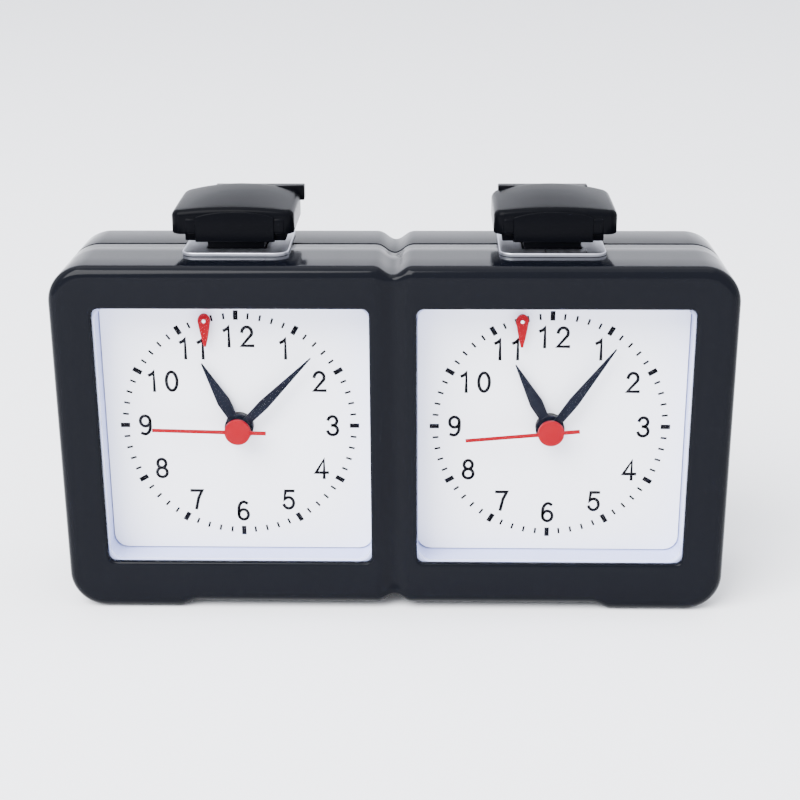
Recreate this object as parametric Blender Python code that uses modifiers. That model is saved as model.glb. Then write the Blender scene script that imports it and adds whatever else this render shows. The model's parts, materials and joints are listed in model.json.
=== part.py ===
"""Twin-dial analogue chess clock: housings, two quartz movements with their gear trains, hands, flags and rocker.

Metres, +Z up. The dials face -Y. The origin is under the middle of the clock, on the surface it stands on.
"""

import math

import bmesh
import bpy
from mathutils import Matrix, Vector

# Housing
WIDTH = 0.175
HEIGHT = 0.095
FRONT_Y = -0.02325
BEZEL_WALL = 0.002
PARTING_Y = 0.00125
REAR_Y = 0.01925
WALL = 0.0025
CORNER_RADIUS = 0.0097
FRONT_ROUND = 0.0028
REAR_ROUND = 0.0035
NOTCH_DEPTH = 0.0023
NOTCH_HALF = 0.0056
FOOT_INNER = 0.058
FOOT_RAMP = 0.005
FOOT_HEIGHT = 0.0016
LOWER_NOTCH_DEPTH = 0.0021
LOWER_NOTCH_HALF = 0.005
GAP = 0.0003

# Dials, seen through square windows
WINDOW_X = 0.0413
WINDOW_Z = 0.0487
WINDOW_SIDE = 0.0704
WINDOW_RADIUS = 0.0028
TRAY_WALL = 0.0015
TRAY_CORNER = 0.0036
LENS_THICKNESS = 0.001
DIAL_X = 0.0411
DIAL_Z = 0.049
DIAL_Y = -0.0126
CARD_THICKNESS = 0.0005
COLLAR_RADIUS = 0.0035
FLAG_OFFSET = (-0.0079, 0.0295)

# Buttons and rocker
BUTTON_X = 0.0408
BUTTON_Y = 0.00125
CAP_WIDTH = 0.0316
CAP_SHIFT = 0.0006  # the cap's middle lies this far outside its neck
CAP_DEPTH = 0.024
CAP_UNDERSIDE = 0.1001
CAP_CROWN = 0.1080
CAP_DROOP = 0.0016  # how far the crown falls at the two ends
CAP_BACK_Y = 0.0147
BAR_WIDTH = 0.0240
BAR_X = {"left": -0.0366, "right": 0.0394}
BAR_BACK_Y = 0.0167
BAR_BOTTOM = 0.1040
BAR_TOP = 0.1078
SKIRT_WIDTH = 0.026
SKIRT_BOTTOM = 0.0982
NECK_WIDTH = 0.0148
NECK_DEPTH = 0.017
NECK_BOTTOM = 0.0883
PLATE_WIDTH = 0.0274
PLATE_DEPTH = 0.027
PLATE_THICKNESS = 0.0009
ROCKER_Z = 0.084
ROCKER_BORE = 0.0018

# Movement, in planes one behind the other
PLATE_FRONT_Y = -0.010
CASE_FRONT_Y = -0.0085
CASE_BACK_Y = 0.006
CASE_WALL = 0.0012
CASE_HALF_WIDTH = 0.028
CASE_HALF_HEIGHT = 0.025
GEAR_THICKNESS = 0.0008
HOUR_LAYER_Y = -0.0078
MOTION_LAYER_Y = -0.0066
CENTRE_LAYER_Y = -0.0053
THIRD_LAYER_Y = -0.0039
FOURTH_LAYER_Y = -0.0025
FIFTH_LAYER_Y = -0.0011
STATOR_Y = 0.0008
HOUR_TUBE = (0.0016, 0.0022)
MINUTE_TUBE = (0.0008, 0.0013)
SECONDS_SHAFT = 0.0005
MOTION_ARBOR = (0.0, -0.010)
THIRD_ARBOR = (-0.00918, 0.0)
FIFTH_ARBOR = (0.00643, 0.00540)
ROTOR_ARBOR = (0.00751, 0.01155)

# Hands
HOUR_HAND_Y = -0.0146
MINUTE_HAND_Y = -0.0162
SECOND_HAND_Y = -0.0178
HAND_THICKNESS = 0.0005
HAND_ANGLES = {"left": (-26.2, 45.0, 270.7), "right": (-27.0, 35.3, 265.6)}

# Battery bay
CELL_RADIUS = 0.00725
CELL_LENGTH = 0.0505
CELL_Y = 0.0087
CELL_Z = 0.0128
COVER_WIDTH = 0.0534
COVER_HEIGHT = 0.0152
COVER_LEDGE = 0.0012

# Fasteners and setting knob
SCREW_X = 0.0816
FRONT_POST_RADIUS = 0.0032
REAR_POST_RADIUS = 0.0042
SCREW_HEIGHTS = (0.020, 0.077)
SCREW_SEAT_Y = 0.0135
KNOB_RADIUS = 0.0068
KNOB_FRONT_Y = 0.01965
KNOB_BACK_Y = 0.02325

SIDES = (("left", -1), ("right", 1))

COLOURS = {
    "black_gloss": ((0.022, 0.025, 0.032), 0.25, 0.0),
    "white_plastic": ((0.78, 0.79, 0.84), 0.4, 0.0),
    "card": ((0.85, 0.85, 0.88), 0.6, 0.0),
    "clear": ((0.85, 0.90, 0.95), 0.05, 0.0),
    "grey_metal": ((0.42, 0.43, 0.48), 0.35, 1.0),
    "slate": ((0.03, 0.035, 0.05), 0.45, 0.0),
    "red": ((0.60, 0.03, 0.04), 0.4, 0.0),
    "gear_plastic": ((0.70, 0.72, 0.68), 0.5, 0.0),
    "brass": ((0.75, 0.55, 0.22), 0.3, 1.0),
    "steel": ((0.55, 0.55, 0.56), 0.3, 1.0),
    "copper": ((0.70, 0.32, 0.16), 0.35, 1.0),
    "board": ((0.05, 0.22, 0.10), 0.5, 0.0),
}


def clear_scene():
    for thing in list(bpy.data.objects):
        bpy.data.objects.remove(thing, do_unlink=True)


def new_collection(name, hidden=False):
    made = bpy.data.collections.new(name)
    made.hide_render = hidden
    bpy.context.scene.collection.children.link(made)
    return made


def material(name):
    """The named finish, made the first time it is asked for."""
    found = bpy.data.materials.get(name)
    if found:
        return found
    colour, roughness, metallic = COLOURS[name]
    made = bpy.data.materials.new(name)
    made.use_nodes = True
    shader = made.node_tree.nodes["Principled BSDF"]
    shader.inputs["Base Color"].default_value = (*colour, 1.0)
    shader.inputs["Roughness"].default_value = roughness
    shader.inputs["Metallic"].default_value = metallic
    return made


def add(name, mesh, finish, collection):
    thing = bpy.data.objects.new(name, mesh)
    collection.objects.link(thing)
    if finish:
        mesh.materials.append(material(finish).copy())
        mesh.shade_smooth()
        mesh.set_sharp_from_angle(angle=math.radians(35))
    return thing


def mesh_of(thing):
    """The curve or modified object as a plain mesh in its own frame, with its caps welded on."""
    graph = bpy.context.evaluated_depsgraph_get()
    mesh = bpy.data.meshes.new_from_object(thing.evaluated_get(graph))
    bpy.data.objects.remove(thing, do_unlink=True)
    work = bmesh.new()
    work.from_mesh(mesh)
    bmesh.ops.remove_doubles(work, verts=work.verts, dist=1e-6)
    bmesh.ops.dissolve_limit(work, angle_limit=0.001, verts=work.verts, edges=work.edges)
    bmesh.ops.recalc_face_normals(work, faces=work.faces)
    work.to_mesh(mesh)
    work.free()
    return mesh


def slab_mesh(loops, front_y, back_y, front_round=0.0, back_round=0.0, segments=3):
    """A flat outline in X and Z, with any holes in it, from front_y to back_y, its two rims rounded."""
    curve = bpy.data.curves.new("outline", "CURVE")
    curve.dimensions = "2D"
    curve.fill_mode = "BOTH"
    curve.extrude = (back_y - front_y) / 2
    for loop in loops:
        spline = curve.splines.new("POLY")
        spline.points.add(len(loop) - 1)
        for point, (x, z) in zip(spline.points, loop):
            point.co = (x, z, 0, 1)
        spline.use_cyclic_u = True
    thing = bpy.data.objects.new("outline", curve)
    bpy.context.scene.collection.objects.link(thing)
    bpy.context.view_layer.update()
    mesh = mesh_of(thing)
    middle = (front_y + back_y) / 2
    mesh.transform(Matrix.Translation((0, middle, 0)) @ Matrix.Rotation(math.radians(90), 4, "X"))
    for y, width in ((front_y, front_round), (back_y, back_round)):
        if width:
            round_rim(mesh, y, width, segments)
    return mesh


def round_rim(mesh, y, width, segments):
    work = bmesh.new()
    work.from_mesh(mesh)
    rim = [
        edge
        for edge in work.edges
        if all(abs(v.co.y - y) < 1e-6 for v in edge.verts)
        and any(abs(face.normal.y) < 0.5 for face in edge.link_faces)
    ]
    bmesh.ops.bevel(work, geom=rim, offset=width, segments=segments, profile=0.5, affect="EDGES", clamp_overlap=True)
    work.to_mesh(mesh)
    work.free()


def turned_mesh(profile, steps):
    """A profile of (radius, y) points turned round the Y axis. Its first and last points lie on the axis,
    or it runs closed round a bore."""
    mesh = bpy.data.meshes.new("profile")
    solid = profile[0][0] == 0
    points = [(radius, 0, -y) for radius, y in profile]
    count = len(points)
    edges = [(i, i + 1) for i in range(count - 1)]
    if not solid:
        edges.append((count - 1, 0))
    mesh.from_pydata(points, edges, [])
    thing = bpy.data.objects.new("turned", mesh)
    bpy.context.scene.collection.objects.link(thing)
    screw = thing.modifiers.new("turn", "SCREW")
    screw.axis = "Z"
    screw.steps = steps
    screw.render_steps = steps
    screw.use_merge_vertices = True
    screw.merge_threshold = 0.000001
    bpy.context.view_layer.update()
    made = mesh_of(thing)
    made.transform(Matrix.Rotation(math.radians(90), 4, "X"))
    return made


def box_mesh(low, high):
    work = bmesh.new()
    bmesh.ops.create_cube(work, size=1.0)
    size = [b - a for a, b in zip(low, high)]
    middle = [(a + b) / 2 for a, b in zip(low, high)]
    bmesh.ops.scale(work, vec=size, verts=work.verts)
    bmesh.ops.translate(work, vec=middle, verts=work.verts)
    mesh = bpy.data.meshes.new("box")
    work.to_mesh(mesh)
    work.free()
    return mesh


def cut(thing, mesh, cutters, operation="DIFFERENCE"):
    """Takes the mesh away from the object, or joins it on, with a live Boolean."""
    tool = add(f"{thing.name}_{operation.lower()}_{len(thing.modifiers)}", mesh, None, cutters)
    tool.hide_render = True
    tool.display_type = "WIRE"
    tool.parent = thing.parent
    tool.matrix_world = thing.matrix_world
    change = thing.modifiers.new(tool.name, "BOOLEAN")
    change.operation = operation
    change.solver = "EXACT"
    change.object = tool


def moved(mesh, x=0.0, y=0.0, z=0.0):
    mesh.transform(Matrix.Translation((x, y, z)))
    return mesh


def arc(centre_x, centre_z, radius, start, end, steps):
    """Points round an arc, from start to end degrees, both ends included."""
    turns = [math.radians(start + (end - start) * i / steps) for i in range(steps + 1)]
    return [(centre_x + radius * math.cos(t), centre_z + radius * math.sin(t)) for t in turns]


def circle(x, z, radius, steps):
    return arc(x, z, radius, 0, 360 * (steps - 1) / steps, steps - 1)


def rounded_rectangle(x, z, width, height, radius, steps=4):
    points = []
    for quadrant, (sx, sz) in enumerate(((1, 1), (-1, 1), (-1, -1), (1, -1))):
        cx = x + sx * (width / 2 - radius)
        cz = z + sz * (height / 2 - radius)
        points += arc(cx, cz, radius, 90 * quadrant, 90 * quadrant + 90, steps)
    return points


def notch(base_z, depth, half, steps=6):
    """A smooth V across the middle, from +X to -X."""
    points = []
    for i in range(steps + 1):
        x = half * (1 - 2 * i / steps)
        points.append((x, base_z - depth * (0.5 + 0.5 * math.cos(math.pi * x / half)) ** 1.5))
    return points


def housing_outline(inset=0.0):
    """The housing seen from the front: waisted in the middle, and standing on two wide feet."""
    half = WIDTH / 2 - inset
    top = HEIGHT - inset
    radius = CORNER_RADIUS - inset
    ramp = [(FOOT_INNER + inset * 0.4, inset), (FOOT_INNER - FOOT_RAMP, FOOT_HEIGHT + inset)]
    lower_notch = notch(FOOT_HEIGHT + inset, -LOWER_NOTCH_DEPTH, LOWER_NOTCH_HALF)
    points = notch(top, NOTCH_DEPTH, NOTCH_HALF)
    points += arc(-half + radius, top - radius, radius, 90, 180, 6)
    points += arc(-half + radius, inset + radius, radius, 180, 270, 6)
    points += [(-x, z) for x, z in ramp]
    points += [(x, z) for x, z in reversed(lower_notch)]
    points += ramp[::-1]
    points += arc(half - radius, inset + radius, radius, 270, 360, 6)
    points += arc(half - radius, top - radius, radius, 0, 90, 6)
    return points


def gear_outline(teeth, module):
    """Pointed teeth, two points each, thin enough that two wheels mesh without touching."""
    pitch = teeth * module / 2
    root = pitch - module
    tip = pitch + 0.5 * module
    step = 2 * math.pi / teeth
    points = []
    for tooth in range(teeth):
        middle = tooth * step
        for radius, turn in ((root, middle - step / 2), (tip, middle)):
            points.append((radius * math.cos(turn), radius * math.sin(turn)))
    return points


def gear_mesh(teeth, module, layer_y, bore=0.0, phase=0.0):
    """A toothed wheel round its own axis at the origin, one tooth pointing phase degrees up from +X."""
    turn = Matrix.Rotation(math.radians(phase), 2)
    loops = [[tuple(turn @ Vector(point)) for point in gear_outline(teeth, module)]]
    if bore:
        loops.append(circle(0, 0, bore, 10))
    return slab_mesh(loops, layer_y - GEAR_THICKNESS / 2, layer_y + GEAR_THICKNESS / 2)


def direction(start, end):
    """Degrees up from +X of the way from one arbor to another."""
    return math.degrees(math.atan2(end[1] - start[1], end[0] - start[0]))


def gap_towards(teeth, way):
    """The phase that turns the gap between two teeth to face the given way."""
    return way + 180 / teeth


def front_housing(parts, cutters):
    """Bezel and front half of the case, open behind."""
    shell = slab_mesh([housing_outline()], FRONT_Y, PARTING_Y, front_round=FRONT_ROUND)
    thing = add("front_housing", shell, "black_gloss", parts)
    cut(thing, slab_mesh([housing_outline(WALL)], FRONT_Y + BEZEL_WALL, PARTING_Y + 0.001), cutters)
    for _, sign in SIDES:
        window = rounded_rectangle(sign * WINDOW_X, WINDOW_Z, WINDOW_SIDE, WINDOW_SIDE, WINDOW_RADIUS)
        cut(thing, slab_mesh([window], FRONT_Y - 0.001, FRONT_Y + BEZEL_WALL + 0.001), cutters)
        cut(thing, neck_slot(sign), cutters)
    for sign in (-1, 1):
        for z in SCREW_HEIGHTS:
            post = turned_mesh(
                [(0.0017, -0.016), (0.0017, PARTING_Y - GAP), (FRONT_POST_RADIUS, PARTING_Y - GAP),
                  (FRONT_POST_RADIUS, FRONT_Y + 0.001),
                 (0.0017, FRONT_Y + 0.001)][::-1], 12)
            cut(thing, moved(post, sign * SCREW_X, 0, z), cutters, "UNION")
    socket = [(ROCKER_BORE, -0.0085), (ROCKER_BORE, -0.0045), (0.0033, -0.0045), (0.0033, FRONT_Y + 0.001)]
    cut(thing, moved(turned_mesh(socket_profile(socket), 16), 0, 0, ROCKER_Z), cutters, "UNION")
    return thing


def socket_profile(points):
    """A boss with a blind hole, closed on the axis at both ends."""
    return [(0, points[0][1])] + points + [(0, points[-1][1])]


def neck_slot(sign):
    slot_half_x = NECK_WIDTH / 2 + GAP
    slot_half_y = NECK_DEPTH / 2 + GAP
    low = (sign * BUTTON_X - slot_half_x, BUTTON_Y - slot_half_y, HEIGHT - WALL - 0.001)
    high = (sign * BUTTON_X + slot_half_x, BUTTON_Y + slot_half_y, HEIGHT + 0.001)
    return box_mesh(low, high)


def rear_housing(parts, cutters):
    """Rear half of the case, with the neck slots, the battery doorways and the screw posts."""
    front = PARTING_Y + GAP
    shell = slab_mesh([housing_outline()], front, REAR_Y, back_round=REAR_ROUND)
    thing = add("rear_housing", shell, "black_gloss", parts)
    cut(thing, slab_mesh([housing_outline(WALL)], front - 0.001, REAR_Y - WALL), cutters)
    for _, sign in SIDES:
        cut(thing, neck_slot(sign), cutters)
        x = sign * DIAL_X
        doorway = rounded_rectangle(x, CELL_Z, COVER_WIDTH + 2 * GAP, COVER_HEIGHT + 2 * GAP, 0.0018, 2)
        cut(thing, slab_mesh([doorway], REAR_Y - 0.002, REAR_Y + 0.001), cutters)
        throat = rounded_rectangle(x, CELL_Z, COVER_WIDTH - 2 * COVER_LEDGE, COVER_HEIGHT - 0.0004, 0.0005, 1)
        cut(thing, slab_mesh([throat], REAR_Y - WALL - 0.001, REAR_Y - 0.001), cutters)
        stem_hole = circle(x, DIAL_Z + MOTION_ARBOR[1], 0.0022, 16)
        cut(thing, slab_mesh([stem_hole], REAR_Y - WALL - 0.001, REAR_Y + 0.001), cutters)
    for sign in (-1, 1):
        for z in SCREW_HEIGHTS:
            post = slab_mesh([circle(sign * SCREW_X, z, REAR_POST_RADIUS, 16)], front + GAP, REAR_Y - 0.001)
            cut(thing, post, cutters, "UNION")
            well = slab_mesh([circle(sign * SCREW_X, z, 0.0031, 16)], SCREW_SEAT_Y, REAR_Y + 0.001)
            cut(thing, well, cutters)
            hole = slab_mesh([circle(sign * SCREW_X, z, 0.0017, 12)], front - 0.001, SCREW_SEAT_Y + 0.001)
            cut(thing, hole, cutters)
    socket = slab_mesh([circle(0, ROCKER_Z, 0.0033, 16)], 0.0068, REAR_Y - 0.001)
    cut(thing, socket, cutters, "UNION")
    cut(thing, slab_mesh([circle(0, ROCKER_Z, ROCKER_BORE, 12)], 0.006, 0.011), cutters)
    return thing


def case_screws(parts, cutters):
    """Four pan-head screws, down in the posts' wells."""
    profile = [(0, SCREW_SEAT_Y + 0.0024), (0.0020, SCREW_SEAT_Y + 0.0024), (0.0027, SCREW_SEAT_Y + 0.0014),
               (0.0027, SCREW_SEAT_Y + GAP), (0.0014, SCREW_SEAT_Y + GAP), (0.0014, -0.0145), (0, -0.0155)]
    count = 0
    for sign in (-1, 1):
        for z in SCREW_HEIGHTS:
            count += 1
            screw = add(f"case_screw_{count}", turned_mesh(profile, 16), "steel", parts)
            screw.location = (sign * SCREW_X, 0, z)
            for size in ((0.0018, 0.00045), (0.00045, 0.0018)):
                slot = box_mesh((-size[0], SCREW_SEAT_Y + 0.0014, -size[1]),
                                (size[0], SCREW_SEAT_Y + 0.004, size[1]))
                bpy.context.view_layer.update()
                cut(screw, slot, cutters)


def rocker(parts, cutters):
    """The seesaw that joins the two buttons, and the pin it turns on."""
    half = 0.050
    arm = [(half, 0.0008), (half, 0.0032), (half - 0.0045, 0.0040), (half - 0.014, 0.0040), (half - 0.019, 0.0030),
           (0.012, 0.0030), (0.006, 0.0052)]
    under = [(0.007, -0.0046), (0.014, -0.0010), (half - 0.020, -0.0007), (half, 0.0008)]
    outline = arm + [(-x, z) for x, z in reversed(arm)] + [(-x, z) for x, z in reversed(under[:-1])] + under[:-1]
    lever = add("rocker_lever", slab_mesh([outline], -0.0032, 0.0052), "white_plastic", parts)
    lever.location = (0, 0, ROCKER_Z)
    bpy.context.view_layer.update()
    cut(lever, slab_mesh([circle(0, 0, ROCKER_BORE, 16)], -0.006, 0.008), cutters)
    pin = add("rocker_pivot_pin", turned_mesh([(0, 0.0105), (0.0012, 0.0105), (0.0015, 0.0102), (0.0015, -0.0079),
                                               (0.0012, -0.0082), (0, -0.0082)], 16), "steel", parts)
    pin.location = (0, 0, ROCKER_Z)


def dial_parts(side, sign, parts):
    """Lens, tray and card behind one window."""
    inner = WINDOW_SIDE + 0.0002
    front = FRONT_Y + BEZEL_WALL + 0.0002
    floor = DIAL_Y + CARD_THICKNESS + GAP
    outside = inner + 2 * TRAY_WALL
    outer = rounded_rectangle(sign * WINDOW_X, WINDOW_Z, outside, outside, TRAY_CORNER + 0.001)
    tray = add(f"{side}_dial_tray", slab_mesh([outer], front, floor + TRAY_WALL), "white_plastic", parts)
    hollow = rounded_rectangle(sign * WINDOW_X, WINDOW_Z, inner, inner, TRAY_CORNER)
    cutters = bpy.data.collections["cutters"]
    cut(tray, slab_mesh([hollow], front - 0.001, floor), cutters)
    hole = circle(sign * DIAL_X, DIAL_Z, COLLAR_RADIUS + GAP, 24)
    cut(tray, slab_mesh([hole], floor - 0.001, floor + 0.003), cutters)
    side_gap = 2 * GAP
    sheet = rounded_rectangle(sign * WINDOW_X, WINDOW_Z, inner - side_gap, inner - side_gap, TRAY_CORNER)
    card = slab_mesh([sheet, hole], DIAL_Y, DIAL_Y + CARD_THICKNESS)
    add(f"{side}_dial_card", card, "card", parts)
    pane = slab_mesh([sheet], front + 0.0002, front + 0.0002 + LENS_THICKNESS)
    add(f"{side}_window_lens", pane, "clear", parts)


def hand_outline(length, root, belly, tail):
    """A tapered leaf, widest part way along, from its hub to a fine point."""
    return [(-root / 2, tail), (root / 2, tail), (belly / 2, length * 0.45), (0.0003, length),
            (-0.0003, length), (-belly / 2, length * 0.45)]


def union_mesh(name, base, extras, finish, parts, cutters, location):
    thing = add(name, base, finish, parts)
    thing.location = location
    bpy.context.view_layer.update()
    for extra in extras:
        cut(thing, extra, cutters, "UNION")
    return thing


def hands(side, sign, parts, cutters):
    """Hour, minute and second hand, each on its own tube or shaft."""
    centre = (sign * DIAL_X, 0, DIAL_Z)
    sizes = (("hour", HOUR_HAND_Y, 0.0038, HOUR_TUBE[1], 0.0200, 0.0016, 0.0034),
             ("minute", MINUTE_HAND_Y, 0.0030, MINUTE_TUBE[1], 0.0278, 0.0014, 0.0027))
    for (kind, y, hub, tube, length, root, belly), angle in zip(sizes, HAND_ANGLES[side]):
        front = y - HAND_THICKNESS / 2
        back = y + HAND_THICKNESS / 2
        ring = slab_mesh([circle(0, 0, hub, 20), circle(0, 0, tube + GAP, 16)], front, back + 0.0002)
        leaf = slab_mesh([hand_outline(length, root, belly, tube + 0.0007)], front, back)
        hand = union_mesh(f"{side}_{kind}_hand", ring, [leaf], "slate", parts, cutters, centre)
        hand.rotation_euler = (0, math.radians(angle), 0)
        bpy.context.view_layer.update()
        place_tools(hand)
    hub = turned_mesh([(0, -0.0184), (0.0030, -0.0184), (0.00345, -0.0180), (0.00345, -0.0173), (0.0008, -0.0173),
                       (0.0008, -0.0180), (0, -0.0180)][::-1], 20)
    outline = [(-0.0004, -0.0075), (0.0004, -0.0075), (0.0004, -0.002), (0.0003, 0.0224), (-0.0003, 0.0224),
               (-0.0004, -0.002)]
    needle = slab_mesh([outline], SECOND_HAND_Y - 0.00055, SECOND_HAND_Y - 0.00025)
    hand = union_mesh(f"{side}_second_hand", hub, [needle], "red", parts, cutters, centre)
    hand.rotation_euler = (0, math.radians(HAND_ANGLES[side][2]), 0)
    bpy.context.view_layer.update()
    place_tools(hand)


def place_tools(thing):
    """Cutters follow their object to its final place."""
    for change in thing.modifiers:
        change.object.matrix_world = thing.matrix_world


def flag(side, sign, parts):
    """The hanging pointer that falls when the minute hand lets it go, with its pivot at its own origin."""
    tip = [(-0.0012, -0.003), (-0.0003, -0.0070), (0.0003, -0.0070), (0.0012, -0.003)]
    blade = arc(0, 0, 0.0019, -20, 200, 8) + tip
    y = HOUR_HAND_Y
    mesh = slab_mesh([blade], y - 0.00035, y + 0.00035)
    thing = add(f"{side}_flag", mesh, "red", parts)
    thing.location = (sign * DIAL_X + FLAG_OFFSET[0], 0, DIAL_Z + FLAG_OFFSET[1])


def button(side, sign, parts, cutters):
    """Arched key with its rear bar, its skirt and its square neck, and the metal plate it comes through."""
    x = sign * BUTTON_X
    middle = sign * CAP_SHIFT
    front = BUTTON_Y - CAP_DEPTH / 2 + 0.0013
    half = CAP_WIDTH / 2
    steps = 10
    shares = [1 - 2 * i / steps for i in range(steps + 1)]
    crown = [(middle + half * share, CAP_CROWN - CAP_DROOP * share ** 2) for share in shares]
    outline = crown + [(middle - half, CAP_UNDERSIDE), (middle + half, CAP_UNDERSIDE)]
    pad = slab_mesh([outline], front, CAP_BACK_Y, front_round=0.0020, segments=3)
    cap = add(f"{side}_button_cap", pad, "black_gloss", parts)
    cap.location = (x, 0, 0)
    bpy.context.view_layer.update()
    bar_x = BAR_X[side] - x
    bar = rounded_rectangle(bar_x, (BAR_TOP + BAR_BOTTOM) / 2, BAR_WIDTH, BAR_TOP - BAR_BOTTOM, 0.0006, 2)
    cut(cap, slab_mesh([bar], CAP_BACK_Y - 0.0010, BAR_BACK_Y), cutters, "UNION")
    skirt = box_mesh((-SKIRT_WIDTH / 2, front + 0.0018, SKIRT_BOTTOM),
                     (SKIRT_WIDTH / 2, CAP_BACK_Y - 0.001, CAP_UNDERSIDE + 0.001))
    cut(cap, skirt, cutters, "UNION")
    neck = box_mesh((-NECK_WIDTH / 2, BUTTON_Y - NECK_DEPTH / 2, NECK_BOTTOM),
                    (NECK_WIDTH / 2, BUTTON_Y + NECK_DEPTH / 2, SKIRT_BOTTOM + 0.001))
    cut(cap, neck, cutters, "UNION")
    plate(side, x, parts)


def plate(side, x, parts):
    """A flat metal plate lying on top of the case, with a hole for the neck."""
    margin = GAP + 0.0001
    rim = rounded_rectangle(0, 0, PLATE_WIDTH, PLATE_DEPTH, 0.0035)
    hole = rounded_rectangle(0, 0, NECK_WIDTH + 2 * margin, NECK_DEPTH + 2 * margin, 0.0003, 1)
    mesh = slab_mesh([rim, hole], -PLATE_THICKNESS / 2, PLATE_THICKNESS / 2)
    mesh.transform(Matrix.Rotation(math.radians(-90), 4, "X"))
    thing = add(f"{side}_button_plate", mesh, "grey_metal", parts)
    thing.location = (x, BUTTON_Y - 0.0002, HEIGHT + GAP / 3 + PLATE_THICKNESS / 2)


def movement_case(side, sign, parts, cutters):
    """The flat front plate with its collar, and the deep back case that the train runs in."""
    centre = (sign * DIAL_X, 0, DIAL_Z)
    rim = rounded_rectangle(0, 0, 2 * CASE_HALF_WIDTH, 2 * CASE_HALF_HEIGHT, 0.003, 2)
    bore = HOUR_TUBE[1] + GAP
    plate_mesh = slab_mesh([rim, circle(0, 0, bore, 20)], PLATE_FRONT_Y, CASE_FRONT_Y - GAP)
    collar = turned_mesh([(bore, -0.0134), (bore, PLATE_FRONT_Y + 0.001), (COLLAR_RADIUS, PLATE_FRONT_Y + 0.001),
                          (COLLAR_RADIUS, -0.0134)], 20)
    union_mesh(f"{side}_movement_front_plate", plate_mesh, [collar], "black_gloss", parts, cutters, centre)
    case = add(f"{side}_movement_case", slab_mesh([rim], CASE_FRONT_Y, CASE_BACK_Y), "black_gloss", parts)
    case.location = centre
    bpy.context.view_layer.update()
    inner = rounded_rectangle(0, 0, 2 * (CASE_HALF_WIDTH - CASE_WALL), 2 * (CASE_HALF_HEIGHT - CASE_WALL), 0.002, 2)
    cut(case, slab_mesh([inner], CASE_FRONT_Y - 0.001, CASE_BACK_Y - CASE_WALL), cutters)
    cut(case, slab_mesh([circle(*MOTION_ARBOR, 0.0019, 16)], 0.004, 0.007), cutters)


def tube_mesh(y0, y1, inner, outer):
    return turned_mesh([(inner, y0), (inner, y1), (outer, y1), (outer, y0)], 12)


def pinion_mesh(teeth, module, y0, y1, bore=0.0, phase=0.0):
    """A small gear as long as its arbor needs."""
    mesh = gear_mesh(teeth, module, 0, bore, phase)
    mesh.transform(Matrix.Scale((y1 - y0) / GEAR_THICKNESS, 4, (0, 1, 0)))
    return moved(mesh, 0, (y0 + y1) / 2, 0)


def going_train(side, sign, parts, cutters):
    """Rotor to seconds to minutes: 30 turns of the rotor to one of the fourth wheel, and 60 of that to an hour."""
    centre = (sign * DIAL_X, 0, DIAL_Z)
    hub = (0.0, 0.0)

    def place(arbor):
        return (centre[0] + arbor[0], 0, centre[2] + arbor[1])

    to_third = direction(hub, THIRD_ARBOR)
    to_fifth = direction(hub, FIFTH_ARBOR)
    to_rotor = direction(FIFTH_ARBOR, ROTOR_ARBOR)
    centre_disc = gear_mesh(48, 0.00034, CENTRE_LAYER_Y, SECONDS_SHAFT + GAP, gap_towards(48, to_third))
    union_mesh(f"{side}_centre_wheel", centre_disc, [], "gear_plastic", parts, cutters, centre)
    third_disc = gear_mesh(45, 0.00036, THIRD_LAYER_Y, 0, to_third + 180)
    third_pinion = pinion_mesh(6, 0.00034, -0.0057, THIRD_LAYER_Y, 0, to_third + 180)
    union_mesh(f"{side}_third_wheel", third_disc, [third_pinion], "gear_plastic", parts, cutters, place(THIRD_ARBOR))
    fourth_disc = gear_mesh(48, 0.0003, FOURTH_LAYER_Y, 0, gap_towards(48, to_fifth))
    fourth_pinion = pinion_mesh(6, 0.00036, -0.0043, FOURTH_LAYER_Y, 0, gap_towards(6, to_third))
    shaft = turned_mesh([(0, -0.0018), (SECONDS_SHAFT, -0.0018), (SECONDS_SHAFT, -0.0177), (0, -0.0177)], 10)
    union_mesh(f"{side}_fourth_wheel", fourth_disc, [fourth_pinion, shaft], "brass", parts, cutters, centre)
    fifth_disc = gear_mesh(40, 0.00026, FIFTH_LAYER_Y, 0, gap_towards(40, to_rotor))
    fifth_pinion = pinion_mesh(8, 0.0003, -0.0029, FIFTH_LAYER_Y, 0, to_fifth + 180)
    union_mesh(f"{side}_fifth_wheel", fifth_disc, [fifth_pinion], "gear_plastic", parts, cutters, place(FIFTH_ARBOR))
    magnet = turned_mesh([(0, 0.0016), (0.003, 0.0016), (0.003, -0.0001), (0, -0.0001)], 16)
    rotor_pinion = pinion_mesh(8, 0.00026, -0.0015, 0.0003, 0, to_rotor + 180)
    union_mesh(f"{side}_rotor", magnet, [rotor_pinion], "steel", parts, cutters, place(ROTOR_ARBOR))


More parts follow.
